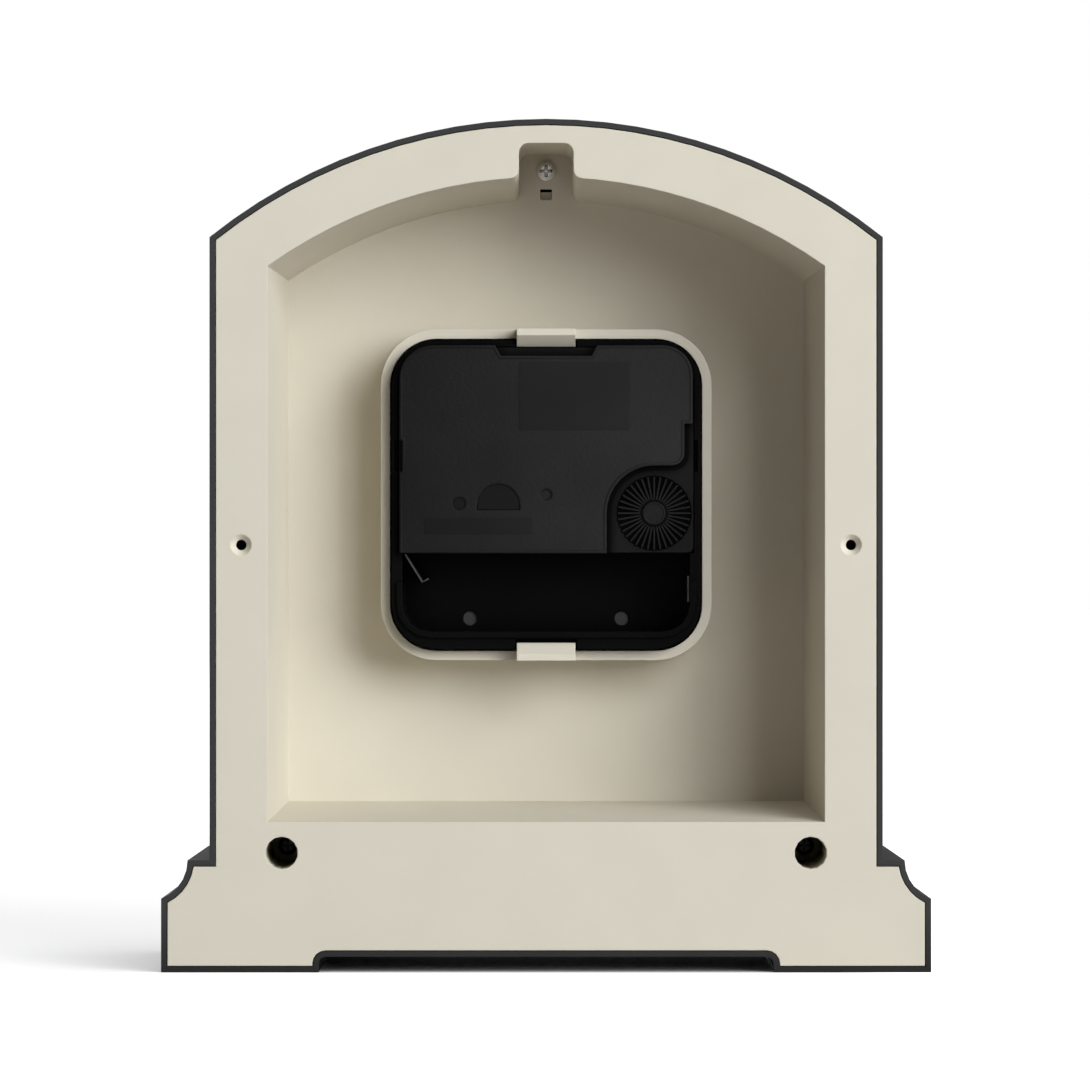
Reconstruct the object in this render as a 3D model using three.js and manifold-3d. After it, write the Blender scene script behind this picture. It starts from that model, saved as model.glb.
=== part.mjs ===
// A small arched table clock with a quartz movement, modelled as it comes apart on a bench.
// Millimetres, +Z up. The dial faces -Y and the flat back lies at the highest Y.
import * as THREE from 'three';
import { mergeVertices } from 'three/addons/utils/BufferGeometryUtils.js';
import Module from 'manifold-3d';

const wasm = await Module();
wasm.setup();
const rad = THREE.MathUtils.degToRad;

// Case
const caseHeight = 151.6;
const bodyHalfWidth = 59.8;
const archRise = 21;
const caseWall = 2.2;
const frontWall = 2;
const caseLean = 0.016; // inward lean of the outer faces for each millimetre forward
const lipWidth = 1;
const plinthStep = 8.6;
const ledgeHeight = 19.9;
const ledgeWidth = 3.9;
const coveRadius = 7.3;
const footGapHalfWidth = 40.4;
const footGapHeight = 2.75;
const footGapCorner = 1.2;

// Back shell
const flangeThickness = 2.2;
const flangeBand = 10.3;
const recessDepth = 34;
const recessLean = 2.3; // how far each recess wall leans in by the time it reaches the floor
const recessBottom = 26.7;
const shellWall = 2;
const shellFloor = 2;
const notchHalfWidth = 4.87;
const notchCorner = 1.7;
const notchFillet = 1.5;
const notchWall = 1.2;
const keyHoleWidth = 2.1;
const keyHoleHeight = 1.95;
const keyHoleDrop = 7.2; // below the top of the notch
const sideHoleRadius = 0.95;
const sideHoleSinkRadius = 1.9;
const sideHoleHeight = 75.9;
const sideHoleEdge = 5.6; // from the side of the body
const surroundWall = 1.7;
const surroundHeight = 11;
const clipHalfWidth = 5.3;
const hookReach = 1.5;
const hookTip = 0.8;
const hookRise = 3.4;
const hookFlat = 1.2;

// Screws
const screwHeadRadius = 1.75;
const screwHeadHeight = 1.4;
const screwShankRadius = 1;
const screwLength = 9;
const crossLength = 2.2;
const crossWidth = 0.55;
const crossDepth = 0.9;
const topScrewDrop = 3; // below the top of the notch
const wellRadius = 2.9;
const wellWall = 1.3;
const wellDepth = 28;
const wellFloor = 2;
const wellDrop = 5.5; // below the recess
const wellInset = 2.5; // from the side of the recess
const bossRadius = 3.1;

// Dial side
const dialDrop = 0.75; // centre of the dial below the middle of the case front
const faceMargin = 14.35; // from the bezel to the ledge and to the top
const bezelWidth = 6.7;
const bezelHeight = 2.1;
const bezelSleeve = 1.2;
const bezelSleeveLength = 5;
const lensThickness = 1.8;
const lensSeat = 1.8; // ring of lens held under the bezel
const spacerWall = 1.4;
const dialMargin = 2; // dial hidden outside the window
const dialThickness = 0.6;
const handRoom = 10.8; // from the dial to the lens
const handThickness = 0.5;
const handSpacing = 1.7;
const handHubWall = 2;
const hourHandMargin = 18.8; // from the tip to the edge of the window
const hourHandStem = 1.6;
const hourSpadeRadius = 2.6;
const minuteHandMargin = 6.8;
const minuteHandStem = 1.3;
const minuteSpadeRadius = 1.9;
const secondHandMargin = 3.8;
const secondHandStem = 0.7;
const secondHandTail = 12;
const handTip = 0.5; // width at the tip
const spadeTipRatio = 3; // from the middle of the spade to the tip, in spade radii
const spadeNeckRatio = 1.6; // to where the spade has narrowed again
const spadeShoulder = rad(20);
const hourBearing = rad(304.5); // hands at nine minutes past ten, clockwise from twelve
const minuteBearing = rad(54);
const secondBearing = rad(216);

// Movement body
const movementHalf = 28;
const movementCorner = 8.1;
const housingWall = 1.2;
const housingFloor = 1.2;
const coverSideInset = 1.5; // from the sides of the movement
const coverTopInset = 1;
const coverThickness = 1.7;
const coverLeftCorner = 6;
const coverRightCorner = 5.4;
const bayDrop = 10.6; // from the centre down to the battery bay
const baySideWall = 2;
const bayBottomWall = 3.2;
const bayCorner = 5;
const dividerThickness = 1.2;
const bayLipHeight = 0.5;
const bayLipWidth = 1.1;
const bayLipDrop = 5.2; // below the top of the bay
const drainRadius = 1.35;
const drainReach = 13.85;
const drainRise = 2.3; // above the bottom of the bay
const bushRadius = 3.8;
const plateThickness = 1.2;
const coverStepHeight = 12.8; // above the centre
const coverStepIn = 1.5;
const coverTailCorner = 2.2;
const coverNotchDepth = 1.9;
const coverNotchHalf = 8.2;
const coverNotchSlant = 1;
const latchLow = 4.2;
const latchHigh = 9.8;
const latchReach = 0.9; // past the side of the cover
const latchNotch = 0.5; // into the side of the cover
const markDepth = 0.3;
const halfMoonRadius = 3.9;
const halfMoonSide = 8.6; // marks on the cover, measured from the centre
const halfMoonDrop = 2.8;
const halfMoonStep = 0.9;
const plugRadius = 1.2;
const plugSide = 15.7;
const plugDrop = 1.6;
const dimpleRadius = 1.1;

// Setting wheel
const settingRadius = 6.6;
const settingEdge = 0.65; // from the wheel to the top of the bay
const settingHubRadius = 2.1;
const settingRibs = 36;
const settingRibWidth = 0.32;
const settingRibHeight = 1.9;
const settingFlangeThickness = 1.2;
const settingShaftRadius = 1.4;
const settingOverhang = 0.45;
const settingCoverGap = 2;

// Gear train: teeth and modules
const cannonTeeth = 10;
const motionTeeth = 30;
const motionPinionTeeth = 8;
const hourTeeth = 32;
const settingTeeth = 12;
const centreTeeth = 48;
const thirdPinionTeeth = 6;
const thirdTeeth = 45;
const secondPinionTeeth = 6;
const secondTeeth = 36;
const intermediatePinionTeeth = 6;
const intermediateTeeth = 30;
const rotorTeeth = 6;
const centreModule = 0.36;
const rotorModule = 0.36;
const thirdBearing = rad(45);
const intermediateBearing = rad(120);
const rotorBearing = rad(150);
const toothShare = 0.42; // tooth width as a share of its pitch
const wheelFlank = [[-1.2, 1.25], [0.8, 0.55]]; // rise in modules, width as a share
const pinionFlank = [[-1.15, 1.1], [0.75, 0.5]];
const gearFace = 0.9;
const layerPitch = 1.5;
const layerGap = 0.5;
const trainGap = 0.23; // between a wheel and a shaft that passes it
const arborRadius = 0.5;
const pivotRadius = 0.45;
const pivotLength = 0.9;
const postRadius = 1;
const secondArborRadius = 0.7;
const cannonWall = 0.75;
const hourPipeWall = 0.55;

// Step motor and drive
const statorThickness = 0.8;
const statorRing = 2;
const statorArm = 2.6;
const magnetRadius = 1.9;
const coilInset = 6; // below the inside of the top wall
const coilLeft = -13;
const coilRight = 7;
const coilFlangeRadius = 2.4;
const coilFlange = 0.8;
const coilSpoolWall = 0.14;
const coreHalfWidth = 0.9;
const coreReach = 4.5;
const boardLeft = 11;
const boardInset = 1.8; // from the side wall
const boardEdge = 2.4; // above the wall of the bay
const boardDrop = 6.8; // below the coil
const boardThickness = 0.8;
const boardPegInset = 2;
const crystalRadius = 0.8;
const crystalLength = 6;
const crystalInset = 3;
const chipRadius = 2.2;
const chipHeight = 1;
const chipShoulder = 0.7; // share of its radius and height where the dome bends
const contactThickness = 0.3;
const contactLow = 2;
const positiveDrop = 4.1; // below the top of the bay
const positiveRise = 0.4; // above the rounded corner of the bay
const leafRootIn = 0.5; // leaf of the other contact, in from the side of the bay
const leafBendIn = 3.6;
const leafTipIn = 4.7;
const leafBendDrop = 5.2; // and below the top of the bay
const leafTipDrop = 4.6;

// Clearances
const seatGap = 0.1; // between flat faces that rest on each other
const fitGap = 0.15; // between a piece and the outline that holds it
const runningGap = 0.15; // round a turning shaft
const looseGap = 0.3;
const pastFace = 1; // how far a cutter runs past the face it opens

// Facets
const archSteps = 24;
const coveSteps = 5;
const cornerSteps = 4;
const windowSides = 40;
const knobSides = 24;
const boreSides = 14;
const pinSides = 10;
const weld = 1e-4;

// Places worked out from the sizes
const bodyDepth = recessDepth + shellFloor + dialThickness + handRoom + lensThickness + looseGap;
const caseDepth = bodyDepth + plinthStep;
const backPlane = caseDepth / 2;
const yAt = (depth) => backPlane - depth;
const archRadius = (bodyHalfWidth ** 2 + archRise ** 2) / (2 * archRise);
const archCentre = caseHeight - archRadius;
const centreHeight = (caseHeight + ledgeHeight) / 2 - dialDrop;
const windowRadius = (caseHeight - ledgeHeight) / 2 - faceMargin - bezelWidth;
const shellFront = recessDepth + shellFloor;
const notchTop = caseHeight - caseWall - caseLean * shellFront - looseGap - notchWall;
const recessHalfWidth = bodyHalfWidth - flangeBand;
const topScrewHeight = notchTop - topScrewDrop;
const wellHeight = recessBottom - wellDrop;
const wellSide = recessHalfWidth - wellInset;

const train = ['hour', 'motion', 'centre', 'third', 'second', 'rotor']; // layers from the dial side
const layer = (name) => housingFloor + layerGap + train.indexOf(name) * layerPitch;
const statorLow = layer('rotor') + gearFace + layerGap;
const plateLow = statorLow + statorThickness + layerGap + looseGap;
const plateHigh = plateLow + plateThickness;
const rimHeight = plateHigh + seatGap;
const coverLow = plateHigh + 2 * seatGap;
const coverHigh = coverLow + coverThickness;
const hookSeat = rimHeight - plateThickness;
const innerHalf = movementHalf - housingWall;
const coverHalf = movementHalf - coverSideInset;
const coverTop = movementHalf - coverTopInset;
const bayBottom = bayBottomWall - movementHalf;
const bayTop = -bayDrop;
const bayHalf = movementHalf - baySideWall;

const dialFront = -(shellFloor + dialThickness + seatGap);
const hourHandFront = dialFront - handSpacing;
const minuteHandFront = hourHandFront - handSpacing;
const secondHandFront = minuteHandFront - handSpacing;

const cannonBore = secondArborRadius + runningGap;
const cannonRadius = cannonBore + cannonWall;
const hourBore = cannonRadius + runningGap;
const hourPipeRadius = hourBore + hourPipeWall;
const bushBore = hourPipeRadius + 2 * runningGap;

const coilHeight = innerHalf - coilInset;
const coilAxis = plateLow - 2 * seatGap - coilFlangeRadius;
const coreHalfHeight = statorLow - seatGap - coilAxis;
const coreEnds = [coilLeft - coreReach, coilRight + coreReach];
const boardRight = innerHalf - boardInset;
const boardLow = bayTop + dividerThickness + boardEdge;
const boardHigh = coilHeight - boardDrop;
const boardTop = plateLow - looseGap - 2 * crystalRadius - seatGap;
const boardBase = boardTop - boardThickness;

// Seen from behind, the setting wheel lies to the right, which is -X.
const settingFlangeRadius = settingRadius + settingOverhang;
const setting = {
  x: -(innerHalf - settingFlangeRadius - 2 * seatGap),
  z: bayTop + settingEdge + settingRadius,
};
const settingDistance = Math.hypot(setting.x, setting.z);
const settingBearing = Math.atan2(setting.z, setting.x);
const motionModule = 2 * settingDistance / (cannonTeeth + 2 * motionTeeth + settingTeeth);
const hourModule = motionModule * (cannonTeeth + motionTeeth) / (hourTeeth + motionPinionTeeth);
const thirdDistance = centreModule * (centreTeeth + thirdPinionTeeth) / 2;
const thirdModule = 2 * thirdDistance / (thirdTeeth + secondPinionTeeth);
const wheelTip = wheelFlank[wheelFlank.length - 1][0];
const centreTipRadius = centreModule * (centreTeeth / 2 + wheelTip);
const intermediateDistance = centreTipRadius + trainGap + arborRadius;
const secondModule = 2 * intermediateDistance / (secondTeeth + intermediatePinionTeeth);
const along = (from, distance, bearing) => ({
  x: from.x + distance * Math.cos(bearing),
  z: from.z + distance * Math.sin(bearing),
});
const centre = { x: 0, z: 0 };
const motion = along(centre, motionModule * (cannonTeeth + motionTeeth) / 2, settingBearing);
const third = along(centre, thirdDistance, thirdBearing);
const intermediate = along(centre, intermediateDistance, intermediateBearing);
const rotor = along(intermediate, rotorModule * (intermediateTeeth + rotorTeeth) / 2, rotorBearing);

// Outlines: lists of points in the X-Z plane
const point = (x, z) => new THREE.Vector2(x, z);

const polar = (radius, angle) => point(radius * Math.cos(angle), radius * Math.sin(angle));

function arc(x, z, radius, from, to, steps) {
  const points = [];
  for (let i = 0; i <= steps; i++) {
    points.push(polar(radius, from + (to - from) * i / steps).add(point(x, z)));
  }
  return points;
}

const circle = (radius, sides, x = 0, z = 0) => arc(x, z, radius, 0, 2 * Math.PI, sides).slice(0, -1);
const rectangle = (x0, z0, x1, z1) => [point(x0, z0), point(x1, z0), point(x1, z1), point(x0, z1)];
const flipped = (points) => points.map((p) => point(-p.x, p.y)).reverse();
const moved = (points, dx, dz) => points.map((p) => point(p.x + dx, p.y + dz));
const block = (width, height, at) =>
  moved(rectangle(0, 0, width, height), at.x - width / 2, at.z - height / 2);
const bothSides = (rightHalf) => [...rightHalf, ...flipped(rightHalf).filter((p) => Math.abs(p.x) > weld)];

function roundedBox(half, low, high, lowCorner, highCorner) {
  const lowArc = arc(half - lowCorner, low + lowCorner, lowCorner, -Math.PI / 2, 0, cornerSteps);
  const highArc = arc(half - highCorner, high - highCorner, highCorner, 0, Math.PI / 2, cornerSteps);
  return bothSides([...lowArc, ...highArc]);
}

// A thin strip along a bent line
function strip(line, width) {
  const side = (sign) => line.map((p, i) => {
    const before = line[Math.max(i - 1, 0)];
    const after = line[Math.min(i + 1, line.length - 1)];
    const run = after.clone().sub(before).normalize();
    return point(p.x - sign * run.y * width / 2, p.y + sign * run.x * width / 2);
  });
  return [...side(-1), ...side(1).reverse()];
}

// Solids
function solidOf(geometry) {
  const bare = new THREE.BufferGeometry();
  bare.setAttribute('position', geometry.getAttribute('position'));
  bare.setIndex(geometry.getIndex());
  const merged = mergeVertices(bare, weld);
  const positions = merged.getAttribute('position').array;
  const corners = merged.getIndex().array;
  const vertex = (i) => new THREE.Vector3().fromArray(positions, 3 * i);
  const faces = [];
  let volume = 0;
  for (let i = 0; i < corners.length; i += 3) {
    const [a, b, c] = corners.slice(i, i + 3);
    if (a === b || b === c || c === a) continue;
    faces.push([a, b, c]);
    volume += vertex(a).dot(vertex(b).cross(vertex(c)));
  }
  const outward = volume > 0 ? faces : faces.map(([a, b, c]) => [a, c, b]);
  const triVerts = new Uint32Array(outward.flat());
  return new wasm.Manifold(new wasm.Mesh({ numProp: 3, vertProperties: positions, triVerts }));
}

function geometryOf(solid) {
  const { vertProperties, triVerts } = solid.getMesh();
  const geometry = new THREE.BufferGeometry();
  geometry.setAttribute('position', new THREE.BufferAttribute(vertProperties, 3));
  geometry.setIndex(new THREE.BufferAttribute(triVerts, 1));
  geometry.computeVertexNormals();
  return geometry;
}

const join = (...solids) => solids.reduce((all, solid) => all.add(solid));
const cut = (solid, ...tools) => tools.reduce((rest, tool) => rest.subtract(tool), solid);

function extruded(outline, length, holes) {
  const shape = new THREE.Shape(outline);
  shape.holes = holes.map((hole) => new THREE.Path(hole));
  return new THREE.ExtrudeGeometry(shape, { depth: length, bevelEnabled: false });
}

// An X-Z outline given thickness from one Y to another
function plate(outline, yFrom, yTo, holes = []) {
  const geometry = extruded(outline, yTo - yFrom, holes);
  return solidOf(geometry.rotateX(Math.PI / 2).translate(0, yTo, 0));
}

// A Y-Z profile run from one X to another
function bar(profile, xFrom, xTo, holes = []) {
  const turn = new THREE.Matrix4().makeBasis(
    new THREE.Vector3(0, 1, 0), new THREE.Vector3(0, 0, 1), new THREE.Vector3(1, 0, 0));
  return solidOf(extruded(profile, xTo - xFrom, holes).applyMatrix4(turn).translate(xFrom, 0, 0));
}

// A profile of [radius, Y] pairs turned about a line along Y
function turned(profile, sides, at = centre) {
  const points = profile.map(([radius, y]) => point(radius, y));
  return solidOf(new THREE.LatheGeometry(points, sides).translate(at.x, 0, at.z));
}

const pin = (radius, yFrom, yTo, sides, at = centre) =>
  turned([[0, yFrom], [radius, yFrom], [radius, yTo], [0, yTo]], sides, at);

function ring(profile, sides, at = centre) {
  return turned([...profile, profile[0]], sides, at);
}

// A skin between equal outlines at given depths, with flat ends
function loft(outlineAt, depths) {
  const outlines = depths.map(outlineAt);
  const count = outlines[0].length;
  const positions = outlines.flatMap((outline, s) => outline.flatMap((p) => [p.x, yAt(depths[s]), p.y]));
  const index = [];
  for (let s = 0; s + 1 < depths.length; s++) {
    for (let i = 0; i < count; i++) {
      const a = s * count + i;
      const b = s * count + (i + 1) % count;
      index.push(a, b, a + count, b, b + count, a + count);
    }
  }
  const last = (depths.length - 1) * count;
  for (const [a, b, c] of THREE.ShapeUtils.triangulateShape(outlines[0], [])) {
    index.push(a, c, b);
    index.push(last + a, last + b, last + c);
  }
  const geometry = new THREE.BufferGeometry();
  geometry.setAttribute('position', new THREE.Float32BufferAttribute(positions, 3));
  return solidOf(geometry.setIndex(index));
}

const clock = new THREE.Group();
const movement = new THREE.Group();
movement.position.set(0, yAt(recessDepth) + seatGap, centreHeight);
clock.add(movement);

const finish = (color, roughness, metalness = 0) =>
  new THREE.MeshStandardMaterial({ color, roughness, metalness });
const anthracite = finish(0x3a3a3c, 0.55);
const cream = finish(0xd1ccbf, 0.5);
const ivory = finish(0xf0eadb, 0.6);
const black = finish(0x141414, 0.4);
const charcoal = finish(0x222221, 0.6);
const white = finish(0xe8e6df, 0.5);
const steel = finish(0xb8b8b4, 0.35, 1);
const darkSteel = finish(0x55534f, 0.4, 1);
const copper = finish(0xa5552f, 0.4, 1);
const green = finish(0x2f5a3a, 0.5);
const clear = finish(0xf4f6f6, 0.05);
clear.transparent = true;
clear.opacity = 0.25;

function place(group, name, solid, material) {
  const mesh = new THREE.Mesh(geometryOf(solid), material);
  mesh.name = name;
  group.add(mesh);
}

// Case outlines. The inset moves every edge inward, the base inset only those of the feet.
function mouldingEdge(inset) {
  const radius = coveRadius + inset;
  const coveAt = ledgeWidth + coveRadius;
  const lowAngle = Math.acos((coveAt - plinthStep + inset) / radius) - Math.PI;
  const highAngle = Math.asin(inset / radius) - Math.PI;
  return arc(coveAt, ledgeHeight, radius, lowAngle, highAngle, coveSteps);
}

function archEdge(halfWidth, radius) {
  return arc(0, archCentre, radius, Math.acos(halfWidth / radius), Math.PI / 2, archSteps / 2);
}

function footEdge(baseInset) {
  const corner = footGapCorner + baseInset;
  const x = footGapHalfWidth - footGapCorner;
  return [
    ...arc(x, footGapHeight - footGapCorner, corner, Math.PI / 2, 0, cornerSteps),
    point(footGapHalfWidth + baseInset, baseInset),
  ];
}

function caseOutline(inset, baseInset) {
  return bothSides([
    ...footEdge(baseInset),
    point(bodyHalfWidth + plinthStep - inset, baseInset),
    ...moved(mouldingEdge(inset), bodyHalfWidth, 0),
    point(bodyHalfWidth - inset, ledgeHeight - inset),
    ...archEdge(bodyHalfWidth - inset, archRadius - inset),
  ]);
}

function bodyOutline(inset) {
  const foot = point(bodyHalfWidth - inset, ledgeHeight - coveRadius);
  return bothSides([foot, ...archEdge(bodyHalfWidth - inset, archRadius - inset)]);
}

function plinthOutline(inset) {
  const side = bodyHalfWidth - inset;
  return bothSides([point(side + plinthStep, 0), ...moved(mouldingEdge(0), side, 0)]);
}

// Screw bosses stand on the front wall and end just clear of the back shell.
function boss(at, shellFace) {
  return pin(bossRadius, yAt(bodyDepth - frontWall / 2), yAt(shellFace + looseGap), boreSides, at);
}

function pilotHole(at, headSeat) {
  const depth = headSeat + screwLength + pastFace;
  return pin(screwShankRadius + fitGap, yAt(depth), yAt(headSeat - pastFace), pinSides, at);
}

const dialCentre = { x: 0, z: centreHeight };
const topScrew = { x: 0, z: topScrewHeight };
const leftScrew = { x: -wellSide, z: wellHeight };
const rightScrew = { x: wellSide, z: wellHeight };

function frontCase() {
  const lean = (depth) => caseLean * depth;
  const body = loft((depth) => bodyOutline(lean(depth)), [0, bodyDepth]);
  const across = loft((depth) => plinthOutline(lean(depth)), [0, caseDepth]);
  const frontEdge = mouldingEdge(0).map((p) => point(yAt(bodyDepth + p.x), p.y));
  const back = yAt(-pastFace);
  const reach = bodyHalfWidth + 2 * plinthStep;
  const fore = bar(
    [point(back, 0), point(yAt(caseDepth), 0), ...frontEdge, point(back, ledgeHeight)], -reach, reach);
  const inside = loft(
    (depth) => caseOutline(caseWall + lean(depth), caseWall), [-pastFace, bodyDepth - frontWall]);
  const rebate = plate(caseOutline(lipWidth, lipWidth), yAt(flangeThickness + seatGap), yAt(-pastFace));
  const footGap = plate(
    bothSides([point(footGapHalfWidth, -pastFace), ...footEdge(0).slice(0, -1).reverse()]),
    yAt(caseDepth + pastFace), yAt(-pastFace));
  const plinthHollow = plate(
    rectangle(-bodyHalfWidth, footGapHeight + caseWall, bodyHalfWidth, mouldingEdge(0)[0].y - caseWall / 2),
    yAt(caseDepth - caseWall), yAt(bodyDepth - frontWall - pastFace));
  const window = pin(
    windowRadius + lensSeat + bezelSleeve + fitGap + looseGap,
    yAt(bodyDepth + pastFace), yAt(bodyDepth - frontWall - pastFace), windowSides, dialCentre);
  const shell = cut(join(body, across.intersect(fore)), inside, rebate, footGap, plinthHollow, window);
  const lowSeat = wellDepth + wellFloor;
  const bosses = [boss(topScrew, shellFront), boss(leftScrew, lowSeat), boss(rightScrew, lowSeat)];
  return cut(
    join(shell, ...bosses),
    pilotHole(topScrew, recessDepth), pilotHole(leftScrew, wellDepth), pilotHole(rightScrew, wellDepth));
}

// Back shell
const recessInset = (depth) => recessLean * depth / recessDepth;
const recessArch = (inset) => archRadius - flangeBand - inset;

function recessOutline(inset) {
  const half = recessHalfWidth - inset;
  return bothSides([point(half, recessBottom + inset), ...archEdge(half, recessArch(inset))]);
}

// The notch opens into the recess with rounded shoulders that follow its leaning wall.
function notchOutline(depth) {
  const shoulder = notchHalfWidth + notchFillet;
  const reach = recessArch(recessInset(depth));
  const shoulderHeight = archCentre + Math.sqrt(reach ** 2 - shoulder ** 2);
  return bothSides([
    point(shoulder, shoulderHeight - 2 * notchFillet),
    ...arc(shoulder, shoulderHeight + notchFillet, notchFillet, 1.5 * Math.PI, Math.PI, cornerSteps),
    ...arc(notchHalfWidth - notchCorner, notchTop - notchCorner, notchCorner, 0, Math.PI / 2, cornerSteps),
  ]);
}

function backShell() {
  const edge = lipWidth + fitGap;
  const flange = plate(caseOutline(edge, edge), yAt(flangeThickness), yAt(0));
  const tub = loft((depth) => recessOutline(recessInset(depth) - shellWall), [0, shellFront]);
  const notchShell = plate(
    rectangle(-notchHalfWidth - notchWall, centreHeight, notchHalfWidth + notchWall, notchTop + notchWall),
    yAt(shellFront), yAt(0));
  const wells = [leftScrew, rightScrew];
  const wellTubes = wells.map((at) =>
    pin(wellRadius + wellWall, yAt(wellDepth + wellFloor), yAt(0), boreSides, at));
  const recess = loft((depth) => recessOutline(recessInset(depth)), [-pastFace, recessDepth]);
  const notch = loft(notchOutline, [-pastFace, recessDepth]);
  const wellBores = wells.map((at) => pin(wellRadius, yAt(wellDepth), yAt(-pastFace), boreSides, at));
  const screwHoles = [topScrew, ...wells].map((at) =>
    pin(screwShankRadius + fitGap, yAt(shellFront + pastFace), yAt(-pastFace), pinSides, at));
  const keyHole = plate(
    block(keyHoleWidth, keyHoleHeight, { x: 0, z: notchTop - keyHoleDrop }),
    yAt(shellFront + pastFace), yAt(recessDepth - pastFace));
  const sideHoles = [-1, 1].map((side) => turned([
    [0, yAt(flangeThickness + pastFace)], [sideHoleRadius, yAt(flangeThickness + pastFace)],
    [sideHoleRadius, yAt(sideHoleSinkRadius - sideHoleRadius)], [sideHoleSinkRadius, yAt(0)],
    [sideHoleSinkRadius, yAt(-pastFace)], [0, yAt(-pastFace)],
  ], boreSides, { x: side * (bodyHalfWidth - sideHoleEdge), z: sideHoleHeight }));
  const centreHole = pin(
    bushRadius + 2 * fitGap, yAt(shellFront + pastFace), yAt(recessDepth - pastFace), boreSides, dialCentre);
  return cut(
    join(flange, tub, notchShell, ...wellTubes),
    recess, notch, ...wellBores, ...screwHoles, keyHole, ...sideHoles, centreHole);
}

// Surround: a wall round the movement on the recess floor, with a snap clip above and one below
const surroundInner = movementHalf + looseGap;
const surroundOuter = surroundInner + surroundWall;
const surroundFoot = yAt(recessDepth) + seatGap;

function clip(sign) {
  const seat = yAt(recessDepth) + hookSeat + 2 * seatGap;
  const top = seat + hookRise;
  const profile = [
    [surroundOuter, surroundFoot], [surroundInner, surroundFoot], [surroundInner, seat],
    [surroundInner - hookReach, seat], [surroundInner - hookReach, seat + hookTip],
    [surroundOuter - hookFlat, top], [surroundOuter, top],
  ].map(([reach, y]) => point(y, centreHeight + sign * reach));
  return bar(profile, -clipHalfWidth, clipHalfWidth);
}

function movementSurround() {
  const outline = (half, corner) => moved(roundedBox(half, -half, half, corner, corner), 0, centreHeight);
  const wall = plate(
    outline(surroundOuter, movementCorner + looseGap + surroundWall),
    surroundFoot, yAt(recessDepth - surroundHeight), [outline(surroundInner, movementCorner + looseGap)]);
  return join(wall, clip(1), clip(-1));
}

function screw(at, headSeat) {
  const seat = yAt(headSeat) + seatGap;
  const top = seat + screwHeadHeight;
  const crown = screwHeadHeight / 2;
  const body = turned([
    [0, seat - screwLength], [screwShankRadius / 2, seat - screwLength],
    [screwShankRadius, seat - screwLength + screwShankRadius], [screwShankRadius, seat],
    [screwHeadRadius, seat], [screwHeadRadius, top - crown], [screwHeadRadius - crown, top], [0, top],
  ], boreSides, at);
  const slot = (width, height) => plate(block(width, height, at), top - crossDepth, top + pastFace);
  return cut(body, slot(crossLength, crossWidth), slot(crossWidth, crossLength));
}

// Dial side
const lensRadius = windowRadius + lensSeat;
const hollow = (inner, outer, low, high) =>
  ring([[inner, low], [outer, low], [outer, high], [inner, high]], windowSides, dialCentre);

function bezelRing() {
  const sleeve = lensRadius + fitGap;
  const outer = windowRadius + bezelWidth;
  const face = yAt(bodyDepth + seatGap);
  const crest = face - bezelHeight;
  return ring([
    [windowRadius, face], [sleeve, face], [sleeve, face + bezelSleeveLength],
    [sleeve + bezelSleeve, face + bezelSleeveLength], [sleeve + bezelSleeve, face], [outer, face],
    [outer - bezelHeight / 2, crest + bezelHeight / 3], [outer - bezelWidth / 2, crest],
    [windowRadius + bezelHeight / 3, crest + bezelHeight / 3],
  ], windowSides, dialCentre);
}

const lensFront = yAt(bodyDepth + seatGap) + seatGap;
const lensRear = lensFront + lensThickness;

function spacerRing() {
  const low = lensRear + seatGap;
  const high = yAt(shellFront + dialThickness) - seatGap;
  const inner = lensRadius - spacerWall;
  return hollow(inner, lensRadius, low, high);
}

function dial() {
  const hole = bushRadius + 2 * fitGap;
  const low = yAt(shellFront + dialThickness);
  const high = yAt(shellFront);
  return hollow(hole, windowRadius + dialMargin, low, high);
}

// Hands: an outline pointing up, turned to the time that the clock shows
function hand(outline, bearing, bore, front) {
  const shown = outline.map((p) => p.clone().rotateAround(point(0, 0), -bearing));
  return plate(shown, front, front + handThickness, [circle(bore, boreSides)]);
}

function spadeOutline(hub, stem, margin, spadeRadius) {
  const length = windowRadius - margin;
  const spadeAt = length - spadeTipRatio * spadeRadius;
  const stemAngle = Math.acos(stem / 2 / hub);
  const neckAngle = Math.acos(stem / 2 / spadeRadius);
  return bothSides([
    ...arc(0, 0, hub, -Math.PI / 2, stemAngle, 2 * cornerSteps),
    ...arc(0, spadeAt, spadeRadius, -neckAngle, spadeShoulder, cornerSteps),
    point(stem / 2, spadeAt + spadeNeckRatio * spadeRadius),
    point(handTip / 2, length),
  ]);
}

function hourHand() {
  const bore = hourPipeRadius + fitGap;
  const outline = spadeOutline(bore + handHubWall, hourHandStem, hourHandMargin, hourSpadeRadius);
  return hand(outline, hourBearing, bore, hourHandFront);
}

function minuteHand() {
  const bore = cannonRadius + fitGap;
  const outline = spadeOutline(bore + handHubWall, minuteHandStem, minuteHandMargin, minuteSpadeRadius);
  return hand(outline, minuteBearing, bore, minuteHandFront);
}

function secondHand() {
  const bore = secondArborRadius + fitGap;
  const hub = bore + handHubWall;
  const stemAngle = Math.acos(secondHandStem / 2 / hub);
  const outline = bothSides([
    point(secondHandStem, -secondHandTail),
    ...arc(0, 0, hub, -stemAngle, stemAngle, 2 * cornerSteps),
    point(handTip / 2, windowRadius - secondHandMargin),
  ]);
  return hand(outline, secondBearing, bore, secondHandFront);
}

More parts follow.
